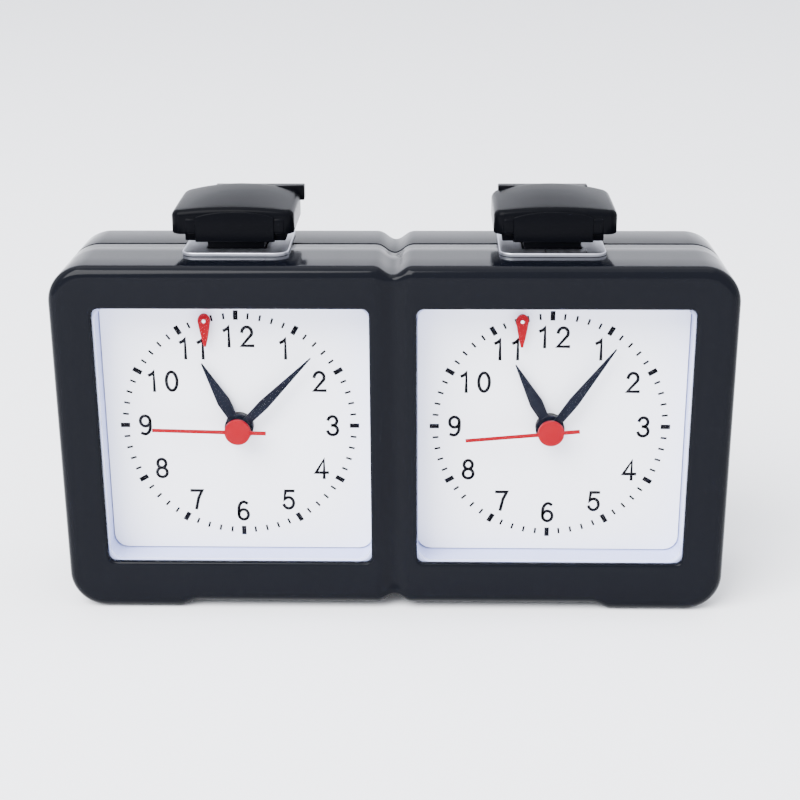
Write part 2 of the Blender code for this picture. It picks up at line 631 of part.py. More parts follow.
def motion_work(side, sign, parts, cutters):
    """Minutes to hours: 10 to 30 teeth, then 8 to 32."""
    centre = (sign * DIAL_X, 0, DIAL_Z)
    to_motion = direction((0.0, 0.0), MOTION_ARBOR)
    hour_disc = gear_mesh(32, 0.0005, HOUR_LAYER_Y, HOUR_TUBE[0], gap_towards(32, to_motion))
    hour_tube = tube_mesh(-0.0152, HOUR_LAYER_Y + 0.0001, HOUR_TUBE[0] + 0.00001, HOUR_TUBE[1])
    union_mesh(f"{side}_hour_wheel", hour_disc, [hour_tube], "gear_plastic", parts, cutters, centre)
    motion_disc = gear_mesh(30, 0.0005, MOTION_LAYER_Y, 0, to_motion + 180)
    motion_pinion = pinion_mesh(8, 0.0005, -0.0082, MOTION_LAYER_Y, 0, to_motion + 180)
    arbor = (centre[0] + MOTION_ARBOR[0], 0, centre[2] + MOTION_ARBOR[1])
    union_mesh(f"{side}_motion_wheel", motion_disc, [motion_pinion], "gear_plastic", parts, cutters, arbor)
    cannon = pinion_mesh(10, 0.0005, -0.0071, -0.0061, MINUTE_TUBE[0], gap_towards(10, to_motion))
    cannon_tube = tube_mesh(-0.0169, -0.0065, MINUTE_TUBE[0] + 0.00001, MINUTE_TUBE[1])
    union_mesh(f"{side}_cannon_pinion", cannon, [cannon_tube], "brass", parts, cutters, centre)


def motor(side, sign, parts, cutters):
    """Stator plate round the rotor, and the coil on its crossbar."""
    centre = (sign * DIAL_X, 0, DIAL_Z)
    frame = [(-0.004, 0.008), (0.019, 0.008), (0.019, 0.021), (-0.004, 0.021)]
    opening = [(-0.0005, 0.0155), (0.0155, 0.0155), (0.0155, 0.018), (-0.0005, 0.018)]
    rotor_hole = circle(*ROTOR_ARBOR, 0.0034, 16)
    stator = slab_mesh([frame, opening, rotor_hole], STATOR_Y - 0.0005, STATOR_Y + 0.0005)
    add(f"{side}_motor_stator", stator, "steel", parts).location = centre
    reach = 0.0067
    flange = 0.0008
    profile = [(0.0017, reach), (0.0026, reach), (0.0026, reach - flange), (0.0022, reach - flange),
               (0.0022, flange - reach), (0.0026, flange - reach), (0.0026, -reach), (0.0017, -reach)]
    coil = turned_mesh([(radius + 0.0005, y) for radius, y in profile], 16)
    coil.transform(Matrix.Rotation(math.radians(-90), 4, "Z"))
    thing = add(f"{side}_motor_coil", moved(coil, 0.0075, STATOR_Y, 0.0195), "copper", parts)
    thing.location = centre


def power(side, sign, parts, cutters):
    """Circuit board, battery cell with its spring, battery cover and setting knob."""
    x = sign * DIAL_X
    board = rounded_rectangle(x, DIAL_Z - 0.0185, 0.034, 0.008, 0.001, 2)
    add(f"{side}_circuit_board", slab_mesh([board], 0.0025, 0.0035), "board", parts)
    half = CELL_LENGTH / 2
    cell = turned_mesh([(0, half), (0.0027, half), (0.0027, half - 0.0012), (CELL_RADIUS - 0.0008, half - 0.0012),
                        (CELL_RADIUS, half - 0.002), (CELL_RADIUS, -half + 0.0006), (CELL_RADIUS - 0.0006, -half),
                        (0, -half)], 20)
    cell.transform(Matrix.Rotation(math.radians(-90), 4, "Z"))
    add(f"{side}_battery", cell, "brass", parts).location = (x, CELL_Y, CELL_Z)
    contact_spring(side, x - half, parts)
    cover = rounded_rectangle(x, CELL_Z, COVER_WIDTH, COVER_HEIGHT, 0.0015, 2)
    lid = slab_mesh([cover], REAR_Y - 0.0017, REAR_Y)
    thing = add(f"{side}_battery_cover", lid, "black_gloss", parts)
    grip = box_mesh((x - 0.006, REAR_Y - 0.0005, CELL_Z + 0.0050), (x + 0.006, REAR_Y + 0.0008, CELL_Z + 0.0060))
    cut(thing, grip, cutters, "UNION")
    knob = turned_mesh([(0, KNOB_BACK_Y), (KNOB_RADIUS - 0.0008, KNOB_BACK_Y), (KNOB_RADIUS, KNOB_BACK_Y - 0.0008),
                        (KNOB_RADIUS, KNOB_FRONT_Y), (0.0016, KNOB_FRONT_Y), (0.0016, 0.0008), (0.0008, 0.0004),
                        (0.0008, MOTION_LAYER_Y + 0.0007), (0, MOTION_LAYER_Y + 0.0007)], 32)
    thing = add(f"{side}_setting_knob", knob, "black_gloss", parts)
    thing.location = (x + MOTION_ARBOR[0], 0, DIAL_Z + MOTION_ARBOR[1])


def contact_spring(side, cell_end_x, parts):
    """The coil spring that presses on the flat end of the cell."""
    turns = 3
    per_turn = 10
    length = 0.0036
    curve = bpy.data.curves.new(f"{side}_contact_spring", "CURVE")
    curve.dimensions = "3D"
    curve.bevel_depth = 0.0003
    curve.bevel_resolution = 1
    curve.use_fill_caps = True
    spline = curve.splines.new("POLY")
    count = turns * per_turn
    spline.points.add(count)
    for i, point in enumerate(spline.points):
        turn = 2 * math.pi * i / per_turn
        radius = 0.0025 + 0.0020 * i / count
        x = cell_end_x - 0.0007 - length * i / count
        point.co = (x, CELL_Y + radius * math.cos(turn), CELL_Z + radius * math.sin(turn), 1)
    thing = bpy.data.objects.new("spring_wire", curve)
    bpy.context.scene.collection.objects.link(thing)
    bpy.context.view_layer.update()
    add(f"{side}_contact_spring", mesh_of(thing), "steel", parts)


def main():
    clear_scene()
    parts = new_collection("chess_clock")
    cutters = new_collection("cutters", hidden=True)
    front_housing(parts, cutters)
    rear_housing(parts, cutters)
    case_screws(parts, cutters)
    rocker(parts, cutters)
    for side, sign in SIDES:
        dial_parts(side, sign, parts)
        hands(side, sign, parts, cutters)
        flag(side, sign, parts)
        button(side, sign, parts, cutters)
        movement_case(side, sign, parts, cutters)
        going_train(side, sign, parts, cutters)
        motion_work(side, sign, parts, cutters)
        motor(side, sign, parts, cutters)
        power(side, sign, parts, cutters)


main()
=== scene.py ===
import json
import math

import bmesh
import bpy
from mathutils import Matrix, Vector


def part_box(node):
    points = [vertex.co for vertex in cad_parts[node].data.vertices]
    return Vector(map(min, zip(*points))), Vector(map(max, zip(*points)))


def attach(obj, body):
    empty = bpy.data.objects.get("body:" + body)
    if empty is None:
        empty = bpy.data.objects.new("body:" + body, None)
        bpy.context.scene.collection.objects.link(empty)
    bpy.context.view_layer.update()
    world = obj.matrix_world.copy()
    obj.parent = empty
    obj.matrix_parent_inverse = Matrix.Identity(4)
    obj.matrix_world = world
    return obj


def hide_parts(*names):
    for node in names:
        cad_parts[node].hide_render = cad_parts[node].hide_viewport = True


bl_info = {
    "name": "Twin Dial Chess Clock",
    "version": (1, 0, 0),
    "blender": (4, 5, 0),
    "location": "3D View > Sidebar > Chess Clock",
    "description": "Builds the visible surfaces of a twin-dial chess clock around its engineering model",
    "category": "Object",
}

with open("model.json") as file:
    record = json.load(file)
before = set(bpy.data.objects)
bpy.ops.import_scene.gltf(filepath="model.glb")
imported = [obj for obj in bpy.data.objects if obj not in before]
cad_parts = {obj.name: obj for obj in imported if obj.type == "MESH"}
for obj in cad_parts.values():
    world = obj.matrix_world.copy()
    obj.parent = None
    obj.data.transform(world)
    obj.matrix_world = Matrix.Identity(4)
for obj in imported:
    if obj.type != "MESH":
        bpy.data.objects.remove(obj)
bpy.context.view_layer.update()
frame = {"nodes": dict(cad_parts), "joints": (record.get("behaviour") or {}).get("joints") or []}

MM = 0.001
SIDES = ("left", "right")

# Places and sizes that the frame already holds
CASE_LOW, CASE_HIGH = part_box("front_housing")
FRONT_Y = CASE_LOW.y
PARTING_FRONT_Y = CASE_HIGH.y
PARTING_REAR_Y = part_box("rear_housing")[0].y
HALF_WIDTH = CASE_HIGH.x
CASE_TOP = CASE_HIGH.z
# The flat of the back, which the battery covers lie flush with
REAR_FACE_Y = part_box("left_battery_cover")[1].y - 0.8 * MM
# Turns a piece drawn flat in X and Y to stand up and face forwards
UPRIGHT = Matrix.Rotation(math.radians(90), 4, "X")


def middle(node):
    """The middle of a node's box at rest."""
    low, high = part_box(node)
    return (low + high) / 2


def dial_centre(side):
    """Where the hands turn, read from the hour wheel's rim."""
    point = middle(f"{side}_hour_wheel")
    return Vector((point.x, 0, point.z))


# ---------------------------------------------------------------- settings


def size_prop(name, description, default):
    return bpy.props.FloatProperty(
        name=name, description=description, default=default, min=0.0, unit="LENGTH")


def colour_prop(name, description, default):
    return bpy.props.FloatVectorProperty(
        name=name, description=description, default=default, size=3, min=0.0, max=1.0, subtype="COLOR")


class CaseSettings(bpy.types.PropertyGroup):
    colour: colour_prop("Case colour", "Body colour of the gloss housing plastic", (0.0024, 0.0029, 0.0050))
    corner_radius: size_prop("Corner radius", "Radius of the case's four outer corners", 9.7 * MM)
    front_round: size_prop("Front rounding", "Radius of the edge round the front face", 2.8 * MM)
    rear_round: size_prop("Rear rounding", "Radius of the edge round the back", 3.5 * MM)
    window_round: size_prop("Window rounding", "Radius of the rim round each window", 0.9 * MM)
    pillow: size_prop("Pillow depth", "How far the bezel falls back towards each window", 0.5 * MM)
    valley: size_prop("Valley depth", "Depth of the groove between the two windows", 1.5 * MM)
    wall: size_prop("Wall", "Thickness of the case wall", 2.5 * MM)


class DialSettings(bpy.types.PropertyGroup):
    paper: colour_prop("Card colour", "Colour of the printed card", (0.93, 0.94, 1.0))
    ink: colour_prop("Ink colour", "Colour of the numerals and the marks", (0.003, 0.003, 0.005))
    tray: colour_prop("Tray colour", "Colour of the white plastic tray", (0.46, 0.51, 0.80))
    numeral_height: size_prop("Numeral height", "Height of the dial numerals", 5.6 * MM)
    numeral_ring: size_prop("Numeral ring", "Radius of the ring of numerals", 24.6 * MM)
    mark_outer: size_prop("Mark ring", "Outer radius of the hour marks", 31.6 * MM)
    hour_mark: size_prop("Hour mark length", "Length of each hour mark", 2.5 * MM)
    minute_mark: size_prop("Minute mark length", "Length of each minute mark", 1.6 * MM)


class ButtonSettings(bpy.types.PropertyGroup):
    colour: colour_prop("Button colour", "Body colour of the button plastic", (0.0020, 0.0022, 0.0032))
    edge: size_prop("Edge radius", "Radius of the button's edges", 1.5 * MM)
    plate: colour_prop("Plate colour", "Colour of the metal plate under the button", (0.50, 0.51, 0.58))


class HandSettings(bpy.types.PropertyGroup):
    dark: colour_prop("Hand colour", "Paint of the hour and minute hands", (0.0045, 0.0055, 0.0115))
    red: colour_prop("Red", "Colour of the second hand and the flag", (0.235, 0.0008, 0.0075))


# ---------------------------------------------------------------- materials


def group_tree(name, inputs, outputs, kind="ShaderNodeTree"):
    """A node group with its named inputs and outputs, and its two end nodes."""
    tree = bpy.data.node_groups.new(name, kind)
    for label, socket_type, default in inputs:
        socket = tree.interface.new_socket(name=label, in_out="INPUT", socket_type=socket_type)
        socket.default_value = default
    for label, socket_type in outputs:
        tree.interface.new_socket(name=label, in_out="OUTPUT", socket_type=socket_type)
    return tree, tree.nodes.new("NodeGroupInput"), tree.nodes.new("NodeGroupOutput")


def linker(tree):
    """A short way to link two nodes of a tree: from node, its output, to node, its input."""
    return lambda source, out, target, into: tree.links.new(source.outputs[out], target.inputs[into])


def node(tree, kind, **values):
    made = tree.nodes.new(kind)
    for key, value in values.items():
        setattr(made, key, value)
    return made


def math_node(tree, operation, second):
    """A math node whose second input is a fixed number."""
    made = node(tree, "ShaderNodeMath", operation=operation)
    made.inputs[1].default_value = second
    return made


def noise(tree, scale, detail):
    made = node(tree, "ShaderNodeTexNoise")
    made.inputs["Scale"].default_value = scale
    made.inputs["Detail"].default_value = detail
    return made


def surface_grain():
    """Fine moulded grain: a roughness that wanders and a shallow bump, both in object space."""
    found = bpy.data.node_groups.get("surface_grain")
    if found:
        return found
    tree, given, result = group_tree(
        "surface_grain",
        (("Scale", "NodeSocketFloat", 900.0), ("Depth", "NodeSocketFloat", 0.1),
         ("Roughness", "NodeSocketFloat", 0.3), ("Spread", "NodeSocketFloat", 0.1)),
        (("Roughness", "NodeSocketFloat"), ("Normal", "NodeSocketVector")))
    place = node(tree, "ShaderNodeTexCoord")
    fine = noise(tree, 900.0, 3.0)
    broad = noise(tree, 45.0, 4.0)
    centred = math_node(tree, "SUBTRACT", 0.5)
    spread = node(tree, "ShaderNodeMath", operation="MULTIPLY_ADD")
    bump = node(tree, "ShaderNodeBump")
    bump.inputs["Distance"].default_value = 0.00005
    link = linker(tree)
    link(place, "Object", fine, "Vector")
    link(place, "Object", broad, "Vector")
    link(given, "Scale", fine, "Scale")
    link(broad, "Fac", centred, 0)
    link(centred, 0, spread, 0)
    link(given, "Spread", spread, 1)
    link(given, "Roughness", spread, 2)
    link(fine, "Fac", bump, "Height")
    link(given, "Depth", bump, "Strength")
    link(spread, 0, result, "Roughness")
    link(bump, "Normal", result, "Normal")
    return tree


def handled_colour():
    """A base colour with soft mottling and a little dust where the surface faces up."""
    found = bpy.data.node_groups.get("handled_colour")
    if found:
        return found
    tree, given, result = group_tree(
        "handled_colour",
        (("Color", "NodeSocketColor", (0.5, 0.5, 0.5, 1.0)), ("Dust", "NodeSocketFloat", 0.02),
         ("Mottle", "NodeSocketFloat", 0.1)),
        (("Color", "NodeSocketColor"),))
    place = node(tree, "ShaderNodeTexCoord")
    facing = node(tree, "ShaderNodeNewGeometry")
    split = node(tree, "ShaderNodeSeparateXYZ")
    specks = noise(tree, 600.0, 6.0)
    sharpen = node(tree, "ShaderNodeMapRange")
    sharpen.inputs["From Min"].default_value = 0.55
    sharpen.inputs["From Max"].default_value = 0.75
    upward = math_node(tree, "MAXIMUM", 0.15)
    mask = node(tree, "ShaderNodeMath", operation="MULTIPLY")
    amount = node(tree, "ShaderNodeMath", operation="MULTIPLY")
    patch = noise(tree, 30.0, 2.0)
    shade = node(tree, "ShaderNodeMapRange")
    shade.inputs["To Max"].default_value = 1.0
    lowest = node(tree, "ShaderNodeMath", operation="SUBTRACT")
    lowest.inputs[0].default_value = 1.0
    tint = node(tree, "ShaderNodeVectorMath", operation="SCALE")
    dusty = node(tree, "ShaderNodeMix", data_type="RGBA")
    dusty.inputs["B"].default_value = (0.55, 0.54, 0.52, 1.0)
    link = linker(tree)
    link(place, "Object", specks, "Vector")
    link(place, "Object", patch, "Vector")
    link(facing, "Normal", split, 0)
    link(split, "Z", upward, 0)
    link(specks, "Fac", sharpen, "Value")
    link(sharpen, "Result", mask, 0)
    link(upward, 0, mask, 1)
    link(mask, 0, amount, 0)
    link(given, "Dust", amount, 1)
    link(given, "Mottle", lowest, 1)
    link(lowest, 0, shade, "To Min")
    link(patch, "Fac", shade, "Value")
    link(given, "Color", tint, 0)
    link(shade, "Result", tint, "Scale")
    link(tint, "Vector", dusty, "A")
    link(amount, 0, dusty, "Factor")
    link(dusty, "Result", result, "Color")
    return tree


def use_group(tree, group, **values):
    made = tree.nodes.new("ShaderNodeGroup")
    made.node_tree = group
    for key, value in values.items():
        made.inputs[key].default_value = value
    return made


def new_material(name):
    made = bpy.data.materials.new(name)
    made.use_nodes = True
    return made, made.node_tree, made.node_tree.nodes["Principled BSDF"]


def moulded_finish(name, colour, roughness=0.4, spread=0.08, grain=900.0, depth=0.15, dust=0.0, mottle=0.08,
                   **shader_values):
    """A moulded, painted or metal finish: handled colour and surface grain on one Principled shader."""
    found = bpy.data.materials.get(name)
    if found:
        return found
    made, tree, shader = new_material(name)
    tint = use_group(tree, handled_colour(), Color=(*colour, 1.0), Dust=dust, Mottle=mottle)
    skin = use_group(tree, surface_grain(), Scale=grain, Depth=depth, Roughness=roughness, Spread=spread)
    tree.links.new(tint.outputs["Color"], shader.inputs["Base Color"])
    tree.links.new(skin.outputs["Roughness"], shader.inputs["Roughness"])
    tree.links.new(skin.outputs["Normal"], shader.inputs["Normal"])
    for key, value in shader_values.items():
        shader.inputs[key.replace("_", " ")].default_value = value
    return made


def brushed_finish(name, colour, roughness, across):
    """Metal with fine streaks in the roughness and the bump; across stretches them along each axis."""
    found = bpy.data.materials.get(name)
    if found:
        return found
    made, tree, shader = new_material(name)
    place = node(tree, "ShaderNodeTexCoord")
    stretch = node(tree, "ShaderNodeMapping")
    stretch.inputs["Scale"].default_value = across
    streaks = noise(tree, 900.0, 3.0)
    level = node(tree, "ShaderNodeMapRange")
    level.inputs["To Min"].default_value = roughness - 0.08
    level.inputs["To Max"].default_value = roughness + 0.12
    bump = node(tree, "ShaderNodeBump")
    bump.inputs["Strength"].default_value = 0.15
    bump.inputs["Distance"].default_value = 0.00004
    tint = use_group(tree, handled_colour(), Color=(*colour, 1.0), Dust=0.03, Mottle=0.10)
    link = linker(tree)
    link(place, "Object", stretch, "Vector")
    link(stretch, "Vector", streaks, "Vector")
    link(streaks, "Fac", level, "Value")
    link(streaks, "Fac", bump, "Height")
    link(tint, "Color", shader, "Base Color")
    link(level, "Result", shader, "Roughness")
    link(bump, "Normal", shader, "Normal")
    shader.inputs["Metallic"].default_value = 1.0
    return made


def clear_acrylic():
    """Clear pane that lets light and shadow through to the dial."""
    made, tree, shader = new_material("clear_acrylic")
    shader.inputs["Base Color"].default_value = (1.0, 1.0, 1.0, 1.0)
    shader.inputs["Roughness"].default_value = 0.0
    shader.inputs["IOR"].default_value = 1.07
    shader.inputs["Transmission Weight"].default_value = 1.0
    open_air = node(tree, "ShaderNodeBsdfTransparent")
    rays = node(tree, "ShaderNodeLightPath")
    either = node(tree, "ShaderNodeMath", operation="MAXIMUM")
    blend = node(tree, "ShaderNodeMixShader")
    result = tree.nodes["Material Output"]
    link = linker(tree)
    link(rays, "Is Shadow Ray", either, 0)
    link(rays, "Is Diffuse Ray", either, 1)
    link(either, 0, blend, "Fac")
    link(shader, 0, blend, 1)
    link(open_air, 0, blend, 2)
    link(blend, 0, result, "Surface")
    return made


# ---------------------------------------------------------------- mesh helpers


def object_from(mesh, name):
    """A new object in the scene that holds the mesh."""
    made = bpy.data.objects.new(name, mesh)
    bpy.context.scene.collection.objects.link(made)
    return made


def mesh_of(work, name):
    """The bmesh as a finished mesh."""
    mesh = bpy.data.meshes.new(name)
    work.to_mesh(mesh)
    work.free()
    return mesh


def bevelled(work, edges, width, segments):
    """Rounds the edges of a bmesh."""
    bmesh.ops.bevel(work, geom=edges, offset=width, segments=segments, profile=0.5, affect="EDGES")


def tube_faces(rings, count):
    """Faces between rings of points that follow each other, each ring closed and with the same count."""
    return [(ring * count + i, ring * count + (i + 1) % count,
             (ring + 1) * count + (i + 1) % count, (ring + 1) * count + i)
            for ring in range(rings - 1) for i in range(count)]


def mesh_from(name, points, faces, merge=1e-7):
    """A mesh with its doubles merged and its faces turned outwards."""
    work = bmesh.new()
    corners = [work.verts.new(point) for point in points]
    for face in faces:
        distinct = [corners[i] for i in dict.fromkeys(face)]
        if len(distinct) > 2:
            work.faces.new(distinct)
    bmesh.ops.remove_doubles(work, verts=work.verts, dist=merge)
    bmesh.ops.recalc_face_normals(work, faces=work.faces)
    return mesh_of(work, name)


def slab(name, outline, front, back, front_round=0.0, back_round=0.0, segments=5):
    """An outline in X and Z made solid from front to back, with its rims rounded."""
    work = bmesh.new()
    face = work.faces.new([work.verts.new((x, front, z)) for x, z in outline])
    swept = bmesh.ops.extrude_face_region(work, geom=[face])
    moved = [item for item in swept["geom"] if isinstance(item, bmesh.types.BMVert)]
    bmesh.ops.translate(work, vec=(0, back - front, 0), verts=moved)
    bmesh.ops.recalc_face_normals(work, faces=work.faces)
    for level, width in ((front, front_round), (back, back_round)):
        if not width:
            continue
        bevelled(work, [e for e in work.edges if all(abs(v.co.y - level) < 1e-7 for v in e.verts)],
                 width, segments)
    return mesh_of(work, name)


def turned(name, profile, steps=64):
    """A profile of (radius, y) points, from axis to axis, turned round the Y axis."""
    points = []
    for radius, y in profile:
        for i in range(steps):
            turn = 2 * math.pi * i / steps
            points.append((radius * math.cos(turn), y, radius * math.sin(turn)))
    return mesh_from(name, points, tube_faces(len(profile), steps))


def rounded_profile(points, radius, steps=4):
    """The profile with every inner corner replaced by a short arc."""
    out = [points[0]]
    for before, here, after in zip(points, points[1:], points[2:]):
        a, b, c = Vector(before), Vector(here), Vector(after)
        reach = min(radius, (a - b).length * 0.45, (c - b).length * 0.45)
        start = b + (a - b).normalized() * reach
        end = b + (c - b).normalized() * reach
        for i in range(steps + 1):
            t = i / steps
            out.append(tuple(start * (1 - t) ** 2 + b * 2 * t * (1 - t) + end * t * t))
    return out + [points[-1]]


def block(name, low, high, bevel=0.0, segments=4):
    """A box between two corners, with its edges rounded."""
    work = bmesh.new()
    bmesh.ops.create_cube(work, size=1.0)
    low, high = Vector(low), Vector(high)
    bmesh.ops.scale(work, vec=high - low, verts=work.verts)
    bmesh.ops.translate(work, vec=(low + high) / 2, verts=work.verts)
    if bevel:
        bevelled(work, work.edges[:], bevel, segments)
    return mesh_of(work, name)


def baked(thing):
    """The object with its modifiers applied and nothing left live on it."""
    graph = bpy.context.evaluated_depsgraph_get()
    mesh = bpy.data.meshes.new_from_object(thing.evaluated_get(graph), depsgraph=graph)
    thing.modifiers.clear()
    thing.data = mesh
    return thing


def combine(thing, tools, operation):
    """Cuts the tools from the object, or joins them to it, and removes them."""
    for mesh in tools:
        tool = object_from(mesh, "tool")
        change = thing.modifiers.new("combine", "BOOLEAN")
        change.operation = operation
        change.solver = "EXACT"
        change.object = tool
        bpy.context.view_layer.update()
        baked(thing)
        bpy.data.objects.remove(tool, do_unlink=True)
    return thing


def settle(thing, material, body, nodes=(), sharp=32):
    """Gives a finished piece its material, smooth shading, its body and the CAD nodes that it stands for."""
    thing.data.materials.clear()
    thing.data.materials.append(material)
    thing.data.shade_smooth()
    thing.data.set_sharp_from_angle(angle=math.radians(sharp))
    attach(thing, body)
    if nodes:
        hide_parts(*nodes)
    return thing


def dress(names, material):
    """Gives CAD nodes that stay visible their finish."""
    for name in names:
        slots = frame["nodes"][name].material_slots
        if slots:
            for place in slots:
                place.material = material
        else:
            frame["nodes"][name].data.materials.append(material)


def sweep(cx, cz, rx, rz, start, end, steps=18):
    """Points on an ellipse between two angles in degrees."""
    turns = [math.radians(start + (end - start) * i / steps) for i in range(steps + 1)]
    return [(cx + rx * math.cos(t), cz + rz * math.sin(t)) for t in turns]


def arc(x, z, radius, start, end, steps):
    """Points on a circle between two angles in degrees."""
    return sweep(x, z, radius, radius, start, end, steps)


def rounded_rectangle(x, z, width, height, radius, steps=10):
    points = []
    for quadrant, (sx, sz) in enumerate(((1, 1), (-1, 1), (-1, -1), (1, -1))):
        cx = x + sx * (width / 2 - radius)
        cz = z + sz * (height / 2 - radius)
        points += arc(cx, cz, radius, 90 * quadrant, 90 * quadrant + 90, steps)
    return points


def front_outline(name, radius, grow=0.0, steps=10):
    """A rounded rectangle over a node's box, seen from the front and grown on every side."""
    low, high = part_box(name)
    return rounded_rectangle((low.x + high.x) / 2, (low.z + high.z) / 2,
                             high.x - low.x + 2 * grow, high.z - low.z + 2 * grow, radius, steps)


def disc(x, z, radius, steps=48):
    """The outline of a full circle."""
    return arc(x, z, radius, 0, 360 * (steps - 1) / steps, steps - 1)


# ---------------------------------------------------------------- case

# Depth and half width of the notches at the middle of the top and of the underside
NOTCH_TOP = (2.3 * MM, 5.6 * MM)
NOTCH_BOTTOM = (2.1 * MM, 5.0 * MM)
FOOT_INNER = 58.0 * MM
FOOT_RAMP = 5.0 * MM
FOOT_HEIGHT = 1.6 * MM
WINDOW_HALF = 35.2 * MM
WINDOW_CORNER = 1.8 * MM
VALLEY_HALF = 2.7 * MM
# Inside this distance from the middle, the wall is measured straight up and down
NOTCH_REACH = 6.5 * MM
# How far the edges of the two halves are cut back along the parting line
FRONT_LIP = 0.6 * MM
REAR_LIP = 0.8 * MM
# Half width and half depth of each button's square neck
NECK_HALF = (7.4 * MM, 8.5 * MM)


def waist(level, depth, half, x):
    """Height of the top or the underside near the middle, where it dips in a smooth V."""
    if abs(x) >= half:
        return level
    return level - depth * max(0.0, 0.5 + 0.5 * math.cos(math.pi * x / half)) ** 1.5


def right_outline(radius, inset=0.0):
    """The right half of the case's outline, from the top of the middle line to its foot, clockwise."""
    half = HALF_WIDTH - inset
    top = CASE_TOP - inset
    bend = radius - inset
    steps = 30
    points = []
    for i in range(steps + 1):
        x = NOTCH_TOP[1] * i / steps
        points.append((x, waist(top, *NOTCH_TOP, x)))
    points += arc(half - bend, top - bend, bend, 90, 0, 20)
    points += arc(half - bend, inset + bend, bend, 0, -90, 20)
    points += [(FOOT_INNER + inset * 0.4, inset)]
    ramp = 6
    for i in range(1, ramp + 1):
        share = i / ramp
        points.append((FOOT_INNER - FOOT_RAMP * share, inset + FOOT_HEIGHT * smooth_step(share)))
    for i in range(steps, -1, -1):
        x = NOTCH_BOTTOM[1] * i / steps
        points.append((x, waist(FOOT_HEIGHT + inset, -NOTCH_BOTTOM[0], NOTCH_BOTTOM[1], x)))
    return points


def full_outline(radius, inset=0.0):
    right = right_outline(radius, inset)
    return right[1:-1] + [right[-1]] + [(-x, z) for x, z in right[-2:0:-1]] + [right[0]]


def divided(points, longest):
    """The run of points with its long stretches divided."""
    out = [points[0]]
    for a, b in zip(points, points[1:]):
        count = max(1, math.ceil(math.dist(a, b) / longest))
        out += [(a[0] + (b[0] - a[0]) * i / count, a[1] + (b[1] - a[1]) * i / count)
                for i in range(1, count + 1)]
    return out


def distance_to(loop, x, z):
    """Shortest way from a point to a closed loop of points."""
    best = 1.0
    for (ax, az), (bx, bz) in zip(loop, loop[1:] + loop[:1]):
        dx, dz = bx - ax, bz - az
        length = dx * dx + dz * dz
        t = 0.0 if length == 0 else max(0.0, min(1.0, ((x - ax) * dx + (z - az) * dz) / length))
        best = min(best, math.hypot(x - ax - t * dx, z - az - t * dz))
    return best


def window_distance(x, z, centre):
    """Way out from the rounded square window's edge; negative inside it."""
    qx = abs(x - centre[0]) - (WINDOW_HALF - WINDOW_CORNER)
    qz = abs(z - centre[1]) - (WINDOW_HALF - WINDOW_CORNER)
    return math.hypot(max(qx, 0), max(qz, 0)) + min(max(qx, qz), 0) - WINDOW_CORNER


def window_hit(centre, direction):
    """How far along a ray from the window's centre its edge lies."""
    low, high = 0.0, 3 * WINDOW_HALF
    for _ in range(40):
        reach = (low + high) / 2
        x, z = centre[0] + direction[0] * reach, centre[1] + direction[1] * reach
        low, high = (reach, high) if window_distance(x, z, centre) < 0 else (low, reach)
    return low


def quarter_round(distance, radius):
    """How far a surface has fallen back at this distance from a rounded edge."""
    if distance >= radius:
        return 0.0
    return radius - math.sqrt(max(0.0, radius * radius - (radius - distance) ** 2))


def ring_shares(start, end, rim, edge):
    """Stations along a ray from the window's edge to the outline, close together over both rounded edges."""
    reach = end - start
    steps = 9
    near = [rim * (1 - math.cos(math.pi / 2 * i / steps)) for i in range(steps + 1)]
    far = [reach - edge * 1.45 * (1 - math.cos(math.pi / 2 * i / steps)) for i in range(steps, -1, -1)]
    between = 9
    low, high = near[-1], far[0]
    inner = [low + (high - low) * i / between for i in range(1, between)]
    return [start + value for value in near + inner + far]


